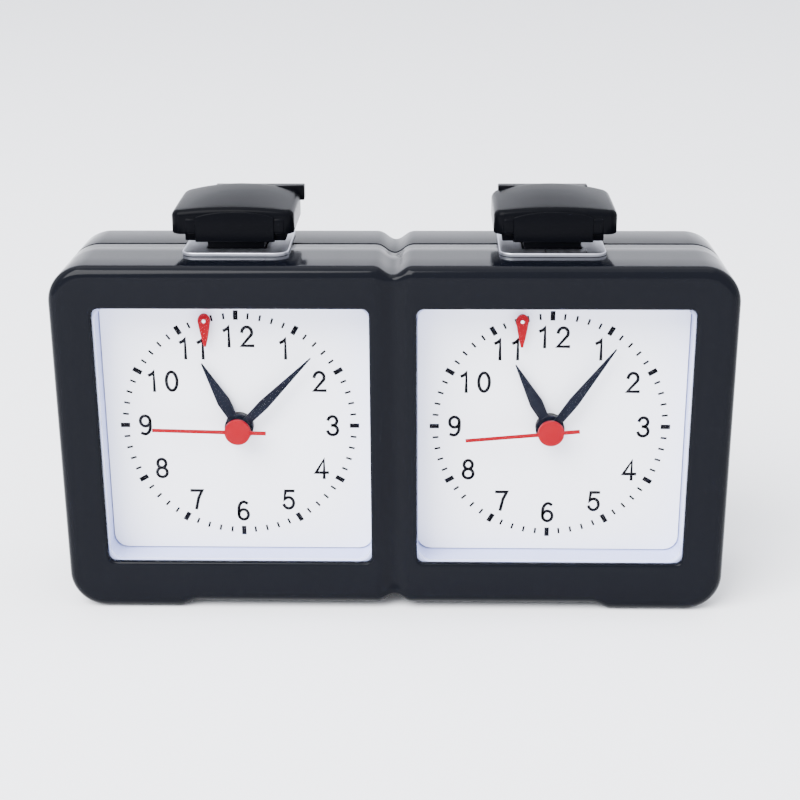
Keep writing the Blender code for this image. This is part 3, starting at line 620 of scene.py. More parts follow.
def front_shell(settings):
    """The bezel: a face that falls back a little to its windows, a valley between them and a rounded edge."""
    place = middle("right_window_lens")
    centre = (place.x, place.z)
    radius = settings.corner_radius
    outline = full_outline(radius)
    wall_back = FRONT_Y + 2.0 * MM
    real = divided(right_outline(radius), 2.5 * MM)
    top, bottom = real[0], real[-1]
    low, high = (0, bottom[1] + 9 * MM), (0, top[1] - 9 * MM)
    seam = (divided([bottom, low], 0.4 * MM) + divided([low, high], 3 * MM)[1:]
            + divided([high, top], 0.4 * MM)[1:-1])
    inner_real = inset_run(real, settings.wall)

    def height(x, z):
        out = distance_to(outline, x, z)
        rim = max(0.0, window_distance(x, z, centre))
        share = out / (out + rim) if out + rim > 0 else 0
        fall = settings.pillow * smooth_step((share - 0.45) / 0.55)
        groove = settings.valley * math.exp(-(x / VALLEY_HALF) ** 2) * smooth_step(out / (4 * MM))
        return (FRONT_Y + quarter_round(out, settings.front_round) + quarter_round(rim, settings.window_round)
                + fall + groove)

    columns = []
    for index, end in enumerate(real + seam[1:]):
        way = Vector(end) - Vector(centre)
        reach = way.length
        way.normalize()
        column = []
        for along in ring_shares(window_hit(centre, way), reach, settings.window_round, settings.front_round):
            x = centre[0] + way.x * along
            z = centre[1] + way.y * along
            if index >= len(real) and along > reach - 1e-9:
                x = 0.0
            column.append((x, height(x, z), z))
        back = [(column[0][0], wall_back, column[0][2])]
        if index < len(real):
            ox, oz = end
            ix, iz = inner_real[index]
            start = FRONT_Y + settings.front_round
            side = [(ox, start + (PARTING_FRONT_Y - FRONT_LIP - start) * t, oz) for t in (0.33, 0.66, 1.0)]
            nx, nz = (ix - ox) * FRONT_LIP / settings.wall, (iz - oz) * FRONT_LIP / settings.wall
            side += [(ox + nx * 0.3, PARTING_FRONT_Y - FRONT_LIP * 0.3, oz + nz * 0.3),
                     (ox + nx, PARTING_FRONT_Y, oz + nz), (ix, PARTING_FRONT_Y, iz), (ix, wall_back, iz)]
            columns.append((column, side, back))
        else:
            columns.append((column, [], [(0.0, wall_back, end[1])] + back))
    return columns_to_shell(columns)


def smooth_step(value):
    value = max(0.0, min(1.0, value))
    return value * value * (3 - 2 * value)


def inset_run(points, depth):
    """The run of outline points moved into the case by the wall's thickness."""
    out = []
    last = len(points) - 1
    for i, point in enumerate(points):
        a = points[max(0, i - 1)]
        b = points[min(last, i + 1)]
        way = Vector((b[0] - a[0], b[1] - a[1])).normalized()
        inward = Vector((way.y, -way.x))
        if point[0] < NOTCH_REACH:
            inward = Vector((0, -1 if point[1] > CASE_TOP / 2 else 1))
        out.append((point[0] + inward.x * depth, point[1] + inward.y * depth))
    return out


def columns_to_shell(columns):
    """Joins neighbouring columns with faces, mirrors the half and merges it along the middle."""
    points = []
    faces = []
    strips = []
    for column, side, back in columns:
        run = column + side + back + [column[0]]
        strips.append((list(range(len(points), len(points) + len(run))), len(column), bool(side)))
        points += run
    count = len(columns)
    for i in range(count):
        j = (i + 1) % count
        first, face_count, first_side = strips[i]
        second, _, second_side = strips[j]
        for k in range(face_count - 1):
            faces.append((first[k], second[k], second[k + 1], first[k + 1]))
        if first_side and second_side and j == i + 1:
            for k in range(face_count - 1, len(first) - 1):
                faces.append((first[k], second[k], second[k + 1], first[k + 1]))
        else:
            tails = (first[-3:], second[-3:])
            for k in range(2):
                faces.append((tails[0][k], tails[1][k], tails[1][k + 1], tails[0][k + 1]))
    mirrored = [(-x, y, z) for x, y, z in points]
    offset = len(points)
    faces += [tuple(offset + k for k in reversed(face)) for face in faces]
    return mesh_from("front_shell", points + mirrored, faces, merge=2e-6)


def neck_block(side, room, bottom, top, bevel=0.0, segments=4):
    """A button's square neck between two heights, or the slot that leaves this much room round it."""
    x, y = middle(f"{side}_button_plate").x, middle("rocker_lever").y + 0.25 * MM
    across, deep = NECK_HALF[0] + room, NECK_HALF[1] + room
    return block("neck", (x - across, y - deep, bottom), (x + across, y + deep, top), bevel, segments)


def case_slot(side):
    """Cuts the top of the case for a button's neck."""
    return neck_block(side, 0.3 * MM, CASE_TOP - 6 * MM, CASE_TOP + 0.5 * MM)


def rear_shell(settings):
    """The back half: rounded rear edge, screw wells, battery doorways and knob holes."""
    outline = full_outline(settings.corner_radius)
    thing = object_from(slab("rear_shell", outline, PARTING_REAR_Y, REAR_FACE_Y,
                             REAR_LIP, settings.rear_round, 6), "rear_shell")
    inner = full_outline(settings.corner_radius, settings.wall)
    inner_back = REAR_FACE_Y - settings.wall
    beyond = REAR_FACE_Y + 1 * MM
    cuts = [slab("hollow", inner, PARTING_REAR_Y - 1 * MM, inner_back)]
    posts = []
    wells = []
    for number in range(1, 5):
        x, _, z = middle(f"case_screw_{number}")
        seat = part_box(f"case_screw_{number}")[1].y - 2.4 * MM
        posts.append(slab("post", disc(x, z, 4.2 * MM, 32), PARTING_REAR_Y + 0.3 * MM, REAR_FACE_Y - 1 * MM))
        wells.append(slab("well", disc(x, z, 3.1 * MM), seat, beyond))
        wells.append(slab("bore", disc(x, z, 1.7 * MM, 24), PARTING_REAR_Y - 1 * MM, seat + 1 * MM))
    for side in SIDES:
        cover = f"{side}_battery_cover"
        low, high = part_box(cover)
        cx, cz = (low.x + high.x) / 2, (low.z + high.z) / 2
        doorway = front_outline(cover, 1.8 * MM, 0.3 * MM, 6)
        throat = rounded_rectangle(cx, cz, high.x - low.x - 2.4 * MM, high.z - low.z - 0.4 * MM, 0.5 * MM, 3)
        knob = middle(f"{side}_setting_knob")
        wells.append(slab("doorway", doorway, REAR_FACE_Y - 2 * MM, beyond))
        wells.append(slab("throat", throat, inner_back - 1 * MM, REAR_FACE_Y - 1 * MM))
        wells.append(slab("thumb", disc(cx, high.z + 1.2 * MM, 4.5 * MM, 40), REAR_FACE_Y - 0.9 * MM, beyond))
        wells.append(slab("dish", disc(knob.x, knob.z, 10.5 * MM, 64), REAR_FACE_Y - 0.8 * MM, beyond))
        wells.append(slab("stem", disc(knob.x, knob.z, 2.2 * MM, 32), inner_back - 1 * MM, REAR_FACE_Y))
        cuts.append(case_slot(side))
    combine(thing, cuts, "DIFFERENCE")
    combine(thing, posts, "UNION")
    combine(thing, wells, "DIFFERENCE")
    return thing


class CLOCK_OT_case(bpy.types.Operator):
    """Builds the front and rear housings"""
    bl_idname = "clock.case"
    bl_label = "Housings"

    def execute(self, context):
        settings = context.scene.clock_case
        gloss = moulded_finish("housing_gloss", settings.colour, roughness=0.12, spread=0.04, grain=1400.0,
                               depth=0.04, dust=0.002, mottle=0.15, Specular_IOR_Level=0.068)
        shell = object_from(front_shell(settings), "front_shell")
        combine(shell, [case_slot(side) for side in SIDES], "DIFFERENCE")
        settle(shell, gloss, "case", ("front_housing",))
        settle(rear_shell(settings), gloss, "case", ("rear_housing",))
        return {"FINISHED"}


# ---------------------------------------------------------------- buttons


CAP_BACK_Y = 14.7 * MM
CAP_HALF = 15.8 * MM
# How far each cap sits outwards from its neck
CAP_SHIFT = {"left": -0.6 * MM, "right": 0.6 * MM}
CAP_UNDERSIDE = 100.1 * MM
SKIRT_BOTTOM = 98.2 * MM
SKIRT_HALF = 13.0 * MM
# Height of the crown along its middle line, and how much it drops to the sides, in front and behind
CROWN_FRONT = (106.9 * MM, 0.9 * MM)
CROWN_BACK = (108.7 * MM, 2.2 * MM)
ARCH_HALF = 10.2 * MM
ARCH_TOP = 106.1 * MM
ARCH_DROP = 1.4 * MM
SHOULDER_TOP = 104.4 * MM
BAR_X = {"left": -36.6 * MM, "right": 39.4 * MM}
BAR_HALF = 12.0 * MM
BAR_BOTTOM = 104.0 * MM
BAR_TOP = 108.0 * MM


def cap_height(across, along):
    """Height of the domed crown: across runs from -1 to 1, along from 0 in front to 1 behind."""
    front, back = (top - drop * across ** 2 for top, drop in (CROWN_FRONT, CROWN_BACK))
    return front + (back - front) * math.sin(math.pi / 2 * max(0.0, min(1.0, along)))


def crown_mesh(x, front, edge):
    """The key's upper body: a rounded plan, a domed top with a soft rim and a small round underneath."""
    depth = CAP_BACK_Y - front
    middle_y = front + depth / 2
    steps, corner_steps, splits = 7, 8, 12
    # Each level is its inset, its height if that is fixed, and else how far it lies under the dome
    levels = [(0.5 * MM, CAP_UNDERSIDE, None), (0.15 * MM, CAP_UNDERSIDE + 0.15 * MM, None),
              (0.0, CAP_UNDERSIDE + 0.5 * MM, None)]
    for i in range(steps + 1):
        turn = math.pi / 2 * i / steps
        levels.append((edge * (1 - math.cos(turn)), None, edge * (1 - math.sin(turn))))
    levels += [(edge + (depth / 2 - edge) * share, None, 0.0)
               for share in (0.12, 0.28, 0.46, 0.64, 0.82, 1.0)]
    points = []
    for inset, flat, drop in levels:
        plan = rounded_rectangle(x, middle_y, 2 * (CAP_HALF - inset), depth - 2 * inset,
                                 max(2.6 * MM - inset, 0.0), corner_steps)
        ring = []
        for index, ((ax, ay), (bx, by)) in enumerate(zip(plan, plan[1:] + plan[:1])):
            ring.append((ax, ay))
            if index % (corner_steps + 1) == corner_steps:
                ring += [(ax + (bx - ax) * i / splits, ay + (by - ay) * i / splits) for i in range(1, splits)]
        points += [(px, py, flat if flat is not None else
                    cap_height((px - x) / CAP_HALF, (py - front) / depth) - drop) for px, py in ring]
    count = len(points) // len(levels)
    return mesh_from("crown", points, tube_faces(len(levels), count) + [tuple(range(count))])


def cap_mesh(side, settings):
    """Domed key with an arched panel and two shoulders in front, a bar behind, a skirt and a square neck."""
    low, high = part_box(f"{side}_button_cap")
    neck = middle(f"{side}_button_plate").x
    thing = object_from(crown_mesh(neck + CAP_SHIFT[side], low.y, settings.edge), f"{side}_button")
    steps = 24
    arch = [(neck - ARCH_HALF + 2 * ARCH_HALF * i / steps,
             ARCH_TOP - ARCH_DROP * abs(2 * i / steps - 1) ** 2.5) for i in range(steps + 1)]
    arch += [(neck + ARCH_HALF, SKIRT_BOTTOM), (neck - ARCH_HALF, SKIRT_BOTTOM)]
    parts = [slab("panel", arch, low.y - 0.5 * MM, low.y + 6 * MM, 0.3 * MM, 0, 3)]
    for sign in (-1, 1):
        near, far = sorted((neck + sign * (ARCH_HALF - 0.5 * MM), neck + sign * SKIRT_HALF))
        parts.append(block("shoulder", (near, low.y - 0.25 * MM, CAP_UNDERSIDE - 0.1 * MM),
                           (far, low.y + 6 * MM, SHOULDER_TOP), 0.8 * MM, 4))
    parts.append(block("skirt", (neck - SKIRT_HALF, low.y + 1.2 * MM, SKIRT_BOTTOM),
                       (neck + SKIRT_HALF, CAP_BACK_Y - 1 * MM, CAP_UNDERSIDE + 1 * MM), 0.3 * MM, 2))
    parts.append(neck_block(side, 0.0, low.z, SKIRT_BOTTOM + 1 * MM, 0.3 * MM, 2))
    bar = BAR_X[side]
    parts.append(block("bar", (bar - BAR_HALF, CAP_BACK_Y - 1.5 * MM, BAR_BOTTOM),
                       (bar + BAR_HALF, high.y, BAR_TOP), 0.4 * MM, 3))
    return combine(thing, parts, "UNION")


def plate_mesh(side):
    """The thin metal plate that the button's neck comes through, with a turned-down bright edge."""
    low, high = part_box(f"{side}_button_plate")
    rim = rounded_rectangle((low.x + high.x) / 2, (low.y + high.y) / 2,
                            high.x - low.x, high.y - low.y, 3.5 * MM)
    mesh = slab("plate", rim, -high.z, -low.z, 0.28 * MM, 0, 4)
    mesh.transform(UPRIGHT.transposed())
    slot = neck_block(side, 0.4 * MM, CASE_TOP - 1 * MM, CASE_TOP + 3 * MM)
    return combine(object_from(mesh, f"{side}_plate"), [slot], "DIFFERENCE")


class CLOCK_OT_buttons(bpy.types.Operator):
    """Builds the two buttons and their plates"""
    bl_idname = "clock.buttons"
    bl_label = "Buttons"

    def execute(self, context):
        settings = context.scene.clock_button
        gloss = moulded_finish("button_gloss", settings.colour, roughness=0.22, spread=0.06, grain=1600.0,
                               depth=0.06, dust=0.002, mottle=0.10, Specular_IOR_Level=0.022)
        metal = brushed_finish("plate_metal", settings.plate, 0.30, (1.0, 0.03, 1.0))
        for side in SIDES:
            settle(cap_mesh(side, settings), gloss, f"{side}_button", (f"{side}_button_cap",))
            settle(plate_mesh(side), metal, "case", (f"{side}_button_plate",))
        return {"FINISHED"}


# ---------------------------------------------------------------- dials


PRINT_GAP = 0.03 * MM
INK_THICKNESS = 0.05 * MM


def geometry_tree(name, inputs):
    """An empty geometry nodes tree with its named inputs, and its two end nodes."""
    return group_tree(name, inputs, (("Geometry", "NodeSocketGeometry"),), "GeometryNodeTree")


def made_real(tree, instances, result, material):
    """Ends a geometry nodes tree: the instances are made real and given their material."""
    real = node(tree, "GeometryNodeRealizeInstances")
    paint = node(tree, "GeometryNodeSetMaterial")
    paint.inputs["Material"].default_value = material
    link = linker(tree)
    link(instances, 0, real, 0)
    link(real, 0, paint, "Geometry")
    link(paint, 0, result, 0)
    return tree


def marks_tree(material):
    """Geometry nodes: minute and hour marks round a ring, each a thin bar, made real at the end."""
    sizes = (("Outer Radius", 31.6 * MM), ("Hour Length", 2.5 * MM), ("Minute Length", 1.6 * MM),
             ("Hour Width", 1.25 * MM), ("Minute Width", 0.55 * MM), ("Minute Inset", 0.6 * MM),
             ("Thickness", INK_THICKNESS))
    tree, given, result = geometry_tree(
        "dial_marks", [(label, "NodeSocketFloat", size) for label, size in sizes])
    join = node(tree, "GeometryNodeJoinGeometry")
    link = linker(tree)
    index = node(tree, "GeometryNodeInputIndex")
    fifth = math_node(tree, "MODULO", 5.0)
    is_hour = math_node(tree, "LESS_THAN", 0.5)
    is_minute = math_node(tree, "GREATER_THAN", 0.5)
    turn = math_node(tree, "MULTIPLY", 2 * math.pi / 60)
    spin = node(tree, "ShaderNodeCombineXYZ")
    link(index, 0, fifth, 0)
    link(fifth, 0, is_hour, 0)
    link(fifth, 0, is_minute, 0)
    link(index, 0, turn, 0)
    link(turn, 0, spin, "Z")
    for chosen, length, width, inset in ((is_hour, "Hour Length", "Hour Width", None),
                                         (is_minute, "Minute Length", "Minute Width", "Minute Inset")):
        half = math_node(tree, "MULTIPLY", 0.5)
        ring_radius = node(tree, "ShaderNodeMath", operation="SUBTRACT")
        ring = node(tree, "GeometryNodeMeshCircle")
        ring.inputs["Vertices"].default_value = 60
        bar_size = node(tree, "ShaderNodeCombineXYZ")
        bar = node(tree, "GeometryNodeMeshCube")
        copies = node(tree, "GeometryNodeInstanceOnPoints")
        link(given, length, half, 0)
        link(given, "Outer Radius", ring_radius, 0)
        link(half, 0, ring_radius, 1)
        radius = ring_radius
        if inset:
            radius = node(tree, "ShaderNodeMath", operation="SUBTRACT")
            link(ring_radius, 0, radius, 0)
            link(given, inset, radius, 1)
        link(radius, 0, ring, "Radius")
        link(given, length, bar_size, "X")
        link(given, width, bar_size, "Y")
        link(given, "Thickness", bar_size, "Z")
        link(bar_size, 0, bar, "Size")
        link(ring, "Mesh", copies, "Points")
        link(chosen, 0, copies, "Selection")
        link(bar, "Mesh", copies, "Instance")
        link(spin, 0, copies, "Rotation")
        link(copies, "Instances", join, 0)
    return made_real(tree, join, result, material)


def set_input(modifier, label, value):
    """Sets a geometry nodes input through its socket's identifier."""
    for item in modifier.node_group.interface.items_tree:
        if item.item_type == "SOCKET" and item.in_out == "INPUT" and item.name == label:
            modifier[item.identifier] = value
            return
    raise KeyError(label)


def grown(tree, name, values):
    """An object made by a geometry nodes tree, as a plain mesh."""
    thing = object_from(bpy.data.meshes.new(name), name)
    change = thing.modifiers.new("grow", "NODES")
    change.node_group = tree
    for label, value in values.items():
        set_input(change, label, value)
    bpy.context.view_layer.update()
    return baked(thing)


# Each figure's strokes in a box one high; the second value is its width
FIGURES = {
    "0": ([sweep(0.29, 0.5, 0.25, 0.46, 0, 360, 32)], 0.58),
    "1": ([[(0.08, 0.80), (0.20, 0.86), (0.28, 0.96), (0.28, 0.04)]], 0.42),
    "2": ([sweep(0.30, 0.70, 0.23, 0.26, 170, -28, 18) + [(0.06, 0.05), (0.56, 0.05)]], 0.60),
    "3": ([sweep(0.28, 0.735, 0.21, 0.225, 160, -90, 18), sweep(0.28, 0.27, 0.24, 0.24, 90, -160, 20)], 0.58),
    "4": ([[(0.44, 0.04), (0.44, 0.96), (0.05, 0.30), (0.60, 0.30)]], 0.62),
    "5": ([[(0.52, 0.95), (0.15, 0.95), (0.09, 0.50)] + sweep(0.29, 0.33, 0.24, 0.29, 125, -155, 24)], 0.58),
    "6": ([[(0.46, 0.90)] + sweep(0.33, 0.55, 0.26, 0.41, 80, 180, 14) + [(0.07, 0.32)],
           sweep(0.30, 0.30, 0.23, 0.26, 0, 360, 30)], 0.58),
    "7": ([[(0.05, 0.95), (0.54, 0.95), (0.36, 0.58), (0.24, 0.04)]], 0.58),
    "8": ([sweep(0.29, 0.74, 0.20, 0.22, 0, 360, 28), sweep(0.29, 0.28, 0.24, 0.24, 0, 360, 30)], 0.58),
    "9": ([sweep(0.28, 0.70, 0.23, 0.26, 0, 360, 30),
           [(0.51, 0.68)] + sweep(0.25, 0.45, 0.26, 0.41, 0, -100, 14) + [(0.12, 0.08)]], 0.58),
}
STROKE = 0.150
# How far some numerals sit to the right of their place on the ring
NUMERAL_SHIFTS = {9: -0.4 * MM, 10: 1.6 * MM, 11: 0.8 * MM, 12: 0.5 * MM}
FIGURE_GAP = 0.40


def ribbon(work, line, width, thickness):
    """A stroke of even width along a line of points, as a thin closed solid."""
    closed = math.dist(line[0], line[-1]) < 1e-6
    if closed:
        line = line[:-1]
    count = len(line)
    edges = ([], [])
    for i, (x, z) in enumerate(line):
        before = line[i - 1] if closed or i else line[i]
        after = line[(i + 1) % count] if closed or i < count - 1 else line[i]
        came = Vector((x - before[0], z - before[1]))
        goes = Vector((after[0] - x, after[1] - z))
        came = (came if came.length else goes).normalized()
        goes = (goes if goes.length else came).normalized()
        mean = (came + goes).normalized()
        reach = width / 2 / max(0.55, mean.dot(goes))
        if not closed and i in (0, count - 1):
            x += mean.x * width / 2 * (-1 if i == 0 else 1)
            z += mean.y * width / 2 * (-1 if i == 0 else 1)
        for edge, sign in zip(edges, (-1, 1)):
            edge.append((x - mean.y * reach * sign, z + mean.x * reach * sign))
    rings = []
    for left, right in zip(*edges):
        rings.append([work.verts.new((*corner, level)) for corner, level in (
            (left, 0), (right, 0), (right, thickness), (left, thickness))])
    for i in range(count if closed else count - 1):
        first, second = rings[i], rings[(i + 1) % count]
        for k in range(4):
            m = (k + 1) % 4
            work.faces.new((first[k], first[m], second[m], second[k]))
    if not closed:
        work.faces.new(rings[0])
        work.faces.new(list(reversed(rings[-1])))


def numeral(text, height):
    """A numeral drawn with even strokes as a thin solid, centred, in the X and Y plane."""
    work = bmesh.new()
    start = 0.0
    for letter in text:
        strokes, advance = FIGURES[letter]
        for line in strokes:
            ribbon(work, [((start + x) * height, z * height) for x, z in line],
                   STROKE * height, INK_THICKNESS)
        start += advance + FIGURE_GAP
    bmesh.ops.recalc_face_normals(work, faces=work.faces)
    mesh = mesh_of(work, "numeral")
    mesh.transform(Matrix.Translation((-(start - FIGURE_GAP) * height / 2, -height / 2, -INK_THICKNESS / 2)))
    return mesh


def joined(name, meshes):
    """Several meshes as one."""
    work = bmesh.new()
    for mesh in meshes:
        work.from_mesh(mesh)
    return mesh_of(work, name)


def print_on_dial(side, settings, ink):
    """Marks and numerals, standing a hair in front of the card."""
    centre = dial_centre(side)
    print_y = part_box(f"{side}_dial_card")[0].y - PRINT_GAP
    tree = bpy.data.node_groups.get("dial_marks") or marks_tree(ink)
    marks = grown(tree, f"{side}_dial_marks", {
        "Outer Radius": settings.mark_outer, "Hour Length": settings.hour_mark,
        "Minute Length": settings.minute_mark})
    marks.data.transform(Matrix.Translation((centre.x, print_y, centre.z)) @ UPRIGHT)
    settle(marks, ink, "case")
    figures = []
    for hour in range(1, 13):
        turn = math.radians(30 * hour)
        figure = numeral(str(hour), settings.numeral_height)
        shift = NUMERAL_SHIFTS.get(hour, 0.0)
        place = (centre.x + shift + settings.numeral_ring * math.sin(turn), print_y,
                 centre.z + settings.numeral_ring * math.cos(turn))
        figure.transform(Matrix.Translation(place) @ UPRIGHT)
        figures.append(figure)
    numbers = object_from(joined(f"{side}_numerals", figures), f"{side}_numerals")
    settle(numbers, ink, "case")


def tray_mesh(side):
    """Open white box with soft corners and a small fillet round its floor."""
    low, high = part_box(f"{side}_dial_tray")
    centre = dial_centre(side)
    card_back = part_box(f"{side}_dial_card")[1].y
    wall = 1.5 * MM
    outer = front_outline(f"{side}_dial_tray", 4.6 * MM)
    inner = front_outline(f"{side}_dial_tray", 3.6 * MM, -wall)
    thing = object_from(slab("tray", outer, low.y, high.y, 0.2 * MM, 0.6 * MM, 3), f"{side}_tray")
    hollow = slab("hollow", inner, low.y - 1 * MM, card_back + 0.3 * MM)
    hole = slab("hole", disc(centre.x, centre.z, 3.8 * MM), low.y, high.y + 1 * MM)
    return combine(thing, [hollow, hole], "DIFFERENCE")


def lens_mesh(side):
    """Flat clear pane with its rims taken off."""
    low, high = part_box(f"{side}_window_lens")
    outline = front_outline(f"{side}_window_lens", 3.6 * MM)
    return object_from(slab("lens", outline, low.y, high.y, 0.12 * MM, 0.12 * MM, 2), f"{side}_lens")


class CLOCK_OT_dials(bpy.types.Operator):
    """Builds the trays, the lenses and the print on the dials"""
    bl_idname = "clock.dials"
    bl_label = "Dials"

    def execute(self, context):
        settings = context.scene.clock_dial
        ink = moulded_finish("dial_ink", settings.ink, roughness=0.5, spread=0.05, depth=0.05, mottle=0.1,
                             Specular_IOR_Level=0.05)
        paper = moulded_finish("dial_paper", settings.paper, roughness=0.62, spread=0.05, grain=2500.0,
                               depth=0.08, mottle=0.015)
        white = moulded_finish("tray_white", settings.tray, roughness=0.42, spread=0.06, grain=1200.0,
                               depth=0.06, mottle=0.02)
        clear = clear_acrylic()
        dress([f"{side}_dial_card" for side in SIDES], paper)
        for side in SIDES:
            settle(tray_mesh(side), white, "case", (f"{side}_dial_tray",))
            settle(lens_mesh(side), clear, "case", (f"{side}_window_lens",))
            print_on_dial(side, settings, ink)
        return {"FINISHED"}


# ---------------------------------------------------------------- hands and flags


BELLY_SHARE = 0.30


def leaf(name, length, root, belly, start, front, back):
    """A tapered hand with a low ridge along its middle."""
    stations = 20
    points = []
    for i in range(stations + 1):
        share = i / stations
        along = start + (length - start) * share
        if share < BELLY_SHARE:
            width = root + (belly - root) * smooth_step(share / BELLY_SHARE)
        else:
            width = belly * (1 - share) / (1 - BELLY_SHARE) + 0.3 * MM * share
        edge = front + 0.12 * MM
        points += [(-width / 2, back, along), (-width / 2, edge, along), (0, front, along),
                   (width / 2, edge, along), (width / 2, back, along)]
    ends = [(4, 3, 2, 1, 0), tuple(5 * stations + k for k in range(5))]
    return mesh_from(name, points, tube_faces(stations + 1, 5) + ends)


def hub_ring(outer, inner, front, back):
    """The ring that a hand turns on, with a chamfered front rim."""
    profile = [(inner, front), (outer - 0.2 * MM, front), (outer, front + 0.2 * MM), (outer, back),
               (inner, back), (inner, front)]
    return turned("hub", profile, 48)


def hand_angle(side, kind):
    """Which way a hand points at rest and how long it is, read from its node's farthest point."""
    centre = dial_centre(side)
    shape = frame["nodes"][f"{side}_{kind}_hand"].data.vertices
    far = max(shape, key=lambda v: math.hypot(v.co.x - centre.x, v.co.z - centre.z)).co
    return math.atan2(far.x - centre.x, far.z - centre.z), math.hypot(far.x - centre.x, far.z - centre.z)


def place_hand(thing, side, angle):
    """Turns a hand drawn upright at the origin and moves it to its dial."""
    centre = dial_centre(side)
    thing.data.transform(Matrix.Translation((centre.x, 0, centre.z)) @ Matrix.Rotation(angle, 4, "Y"))


def dark_hand(side, kind, hub, bore, root, belly):
    """An hour or minute hand: a ridged blade on a ring of these outer and inner radii."""
    low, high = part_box(f"{side}_{kind}_hand")
    angle, length = hand_angle(side, kind)
    thing = object_from(hub_ring(hub, bore, low.y, high.y), f"{side}_{kind}")
    blade = leaf("blade", length, root, belly, (hub + bore) / 2, low.y + 0.05 * MM, high.y - 0.1 * MM)
    combine(thing, [blade], "UNION")
    place_hand(thing, side, angle)
    return thing


def red_hand(side):
    """Slim second hand with a round cap over the stack of hubs."""
    low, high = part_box(f"{side}_second_hand")
    angle, length = hand_angle(side, "second")
    front, back = low.y + 0.1 * MM, low.y + 0.4 * MM
    cap = rounded_profile([(0, low.y), (3.45 * MM, low.y), (3.45 * MM, high.y), (0.8 * MM, high.y),
                           (0.8 * MM, back), (0, back)], 0.25 * MM)
    thing = object_from(turned("cap", cap, 64), f"{side}_second")
    tail = [(-0.5 * MM, -7.5 * MM), (0.5 * MM, -7.5 * MM), (0.5 * MM, -2 * MM), (0.45 * MM, length),
            (-0.45 * MM, length), (-0.5 * MM, -2 * MM)]
    needle = slab("needle", tail, front, back)
    combine(thing, [needle], "UNION")
    place_hand(thing, side, angle)
    return thing


def flag_mesh(side):
    """Red drop-shaped pointer with rounded edges, and the place of its pivot."""
    low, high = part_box(f"{side}_flag")
    joint = next(j for j in frame["joints"] if j["name"] == f"{side}_flag_swing")
    pivot_x, _, pivot_z = joint["pos_m"]
    drop = high.z - pivot_z
    outline = [(pivot_x + (x - pivot_x) * 0.86, z) for x, z in arc(pivot_x, pivot_z, drop, -18, 198, 28)]
    outline += [(pivot_x - 1.30 * MM, pivot_z - 2.2 * MM), (pivot_x - 0.85 * MM, pivot_z - 4.6 * MM),
                (pivot_x - 0.30 * MM, low.z), (pivot_x + 0.30 * MM, low.z),
                (pivot_x + 0.85 * MM, pivot_z - 4.6 * MM), (pivot_x + 1.30 * MM, pivot_z - 2.2 * MM)]
    mesh = slab("flag", outline, low.y, high.y, 0.12 * MM, 0.12 * MM, 2)
    return object_from(mesh, f"{side}_flag_pointer"), (pivot_x, pivot_z, low.y)


def rivet(side, place):
    """Bright rivet that the flag hangs on, reaching back to the dial."""
    x, z, front = place
    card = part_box(f"{side}_dial_card")[0].y
    profile = rounded_profile([(0, front - 0.30 * MM), (0.50 * MM, front - 0.25 * MM),
                               (0.50 * MM, front - 0.02 * MM), (0.3 * MM, front - 0.02 * MM),
                               (0.3 * MM, card), (0, card)], 0.15 * MM, 3)
    thing = object_from(turned("rivet", profile, 24), f"{side}_flag_rivet")
    thing.data.transform(Matrix.Translation((x, 0, z)))
    return thing


class CLOCK_OT_hands(bpy.types.Operator):
    """Builds the hands and the flags"""
    bl_idname = "clock.hands"
    bl_label = "Hands and flags"

    def execute(self, context):
        settings = context.scene.clock_hand
        dark = moulded_finish("hand_paint", settings.dark, roughness=0.42, spread=0.06, grain=2000.0,
                              depth=0.0, mottle=0.1, Specular_IOR_Level=0.06)
        red = moulded_finish("red_paint", settings.red, roughness=0.40, spread=0.06, grain=2000.0,
                             depth=0.0, mottle=0.06, Specular_IOR_Level=0.06)
        bright = brushed_finish("rivet_metal", (0.85, 0.85, 0.88), 0.25, (1.0, 1.0, 1.0))
        for side in SIDES:
            hour = dark_hand(side, "hour", 3.8 * MM, 2.5 * MM, 2.6 * MM, 3.4 * MM)
            settle(hour, dark, f"{side}_hours", (f"{side}_hour_hand",))
            minute = dark_hand(side, "minute", 3.0 * MM, 1.6 * MM, 2.2 * MM, 2.7 * MM)
            settle(minute, dark, f"{side}_minutes", (f"{side}_minute_hand",))
            settle(red_hand(side), red, f"{side}_seconds", (f"{side}_second_hand",))
            pointer, place = flag_mesh(side)
            settle(pointer, red, f"{side}_flag", (f"{side}_flag",))
            settle(rivet(side, place), bright, "case")
        return {"FINISHED"}


# ---------------------------------------------------------------- back


def rib_tree(material):
    """Geometry nodes: a row of small bars along a line, for grip ribs."""
    tree, given, result = geometry_tree("grip_ribs", (
        ("Count", "NodeSocketInt", 6), ("Pitch", "NodeSocketFloat", 1.2 * MM),
        ("Length", "NodeSocketFloat", 12 * MM), ("Width", "NodeSocketFloat", 0.6 * MM),
        ("Height", "NodeSocketFloat", 0.5 * MM)))
    step = node(tree, "ShaderNodeCombineXYZ")
    row = node(tree, "GeometryNodeMeshLine")
    size = node(tree, "ShaderNodeCombineXYZ")
    bar = node(tree, "GeometryNodeMeshCube")
    copies = node(tree, "GeometryNodeInstanceOnPoints")
    link = linker(tree)
    link(given, "Pitch", step, "Z")
    link(given, "Count", row, "Count")
    link(step, 0, row, "Offset")
    link(given, "Length", size, "X")
    link(given, "Height", size, "Y")
    link(given, "Width", size, "Z")
    link(size, 0, bar, "Size")
    link(row, "Mesh", copies, "Points")
    link(bar, "Mesh", copies, "Instance")
    return made_real(tree, copies, result, material)


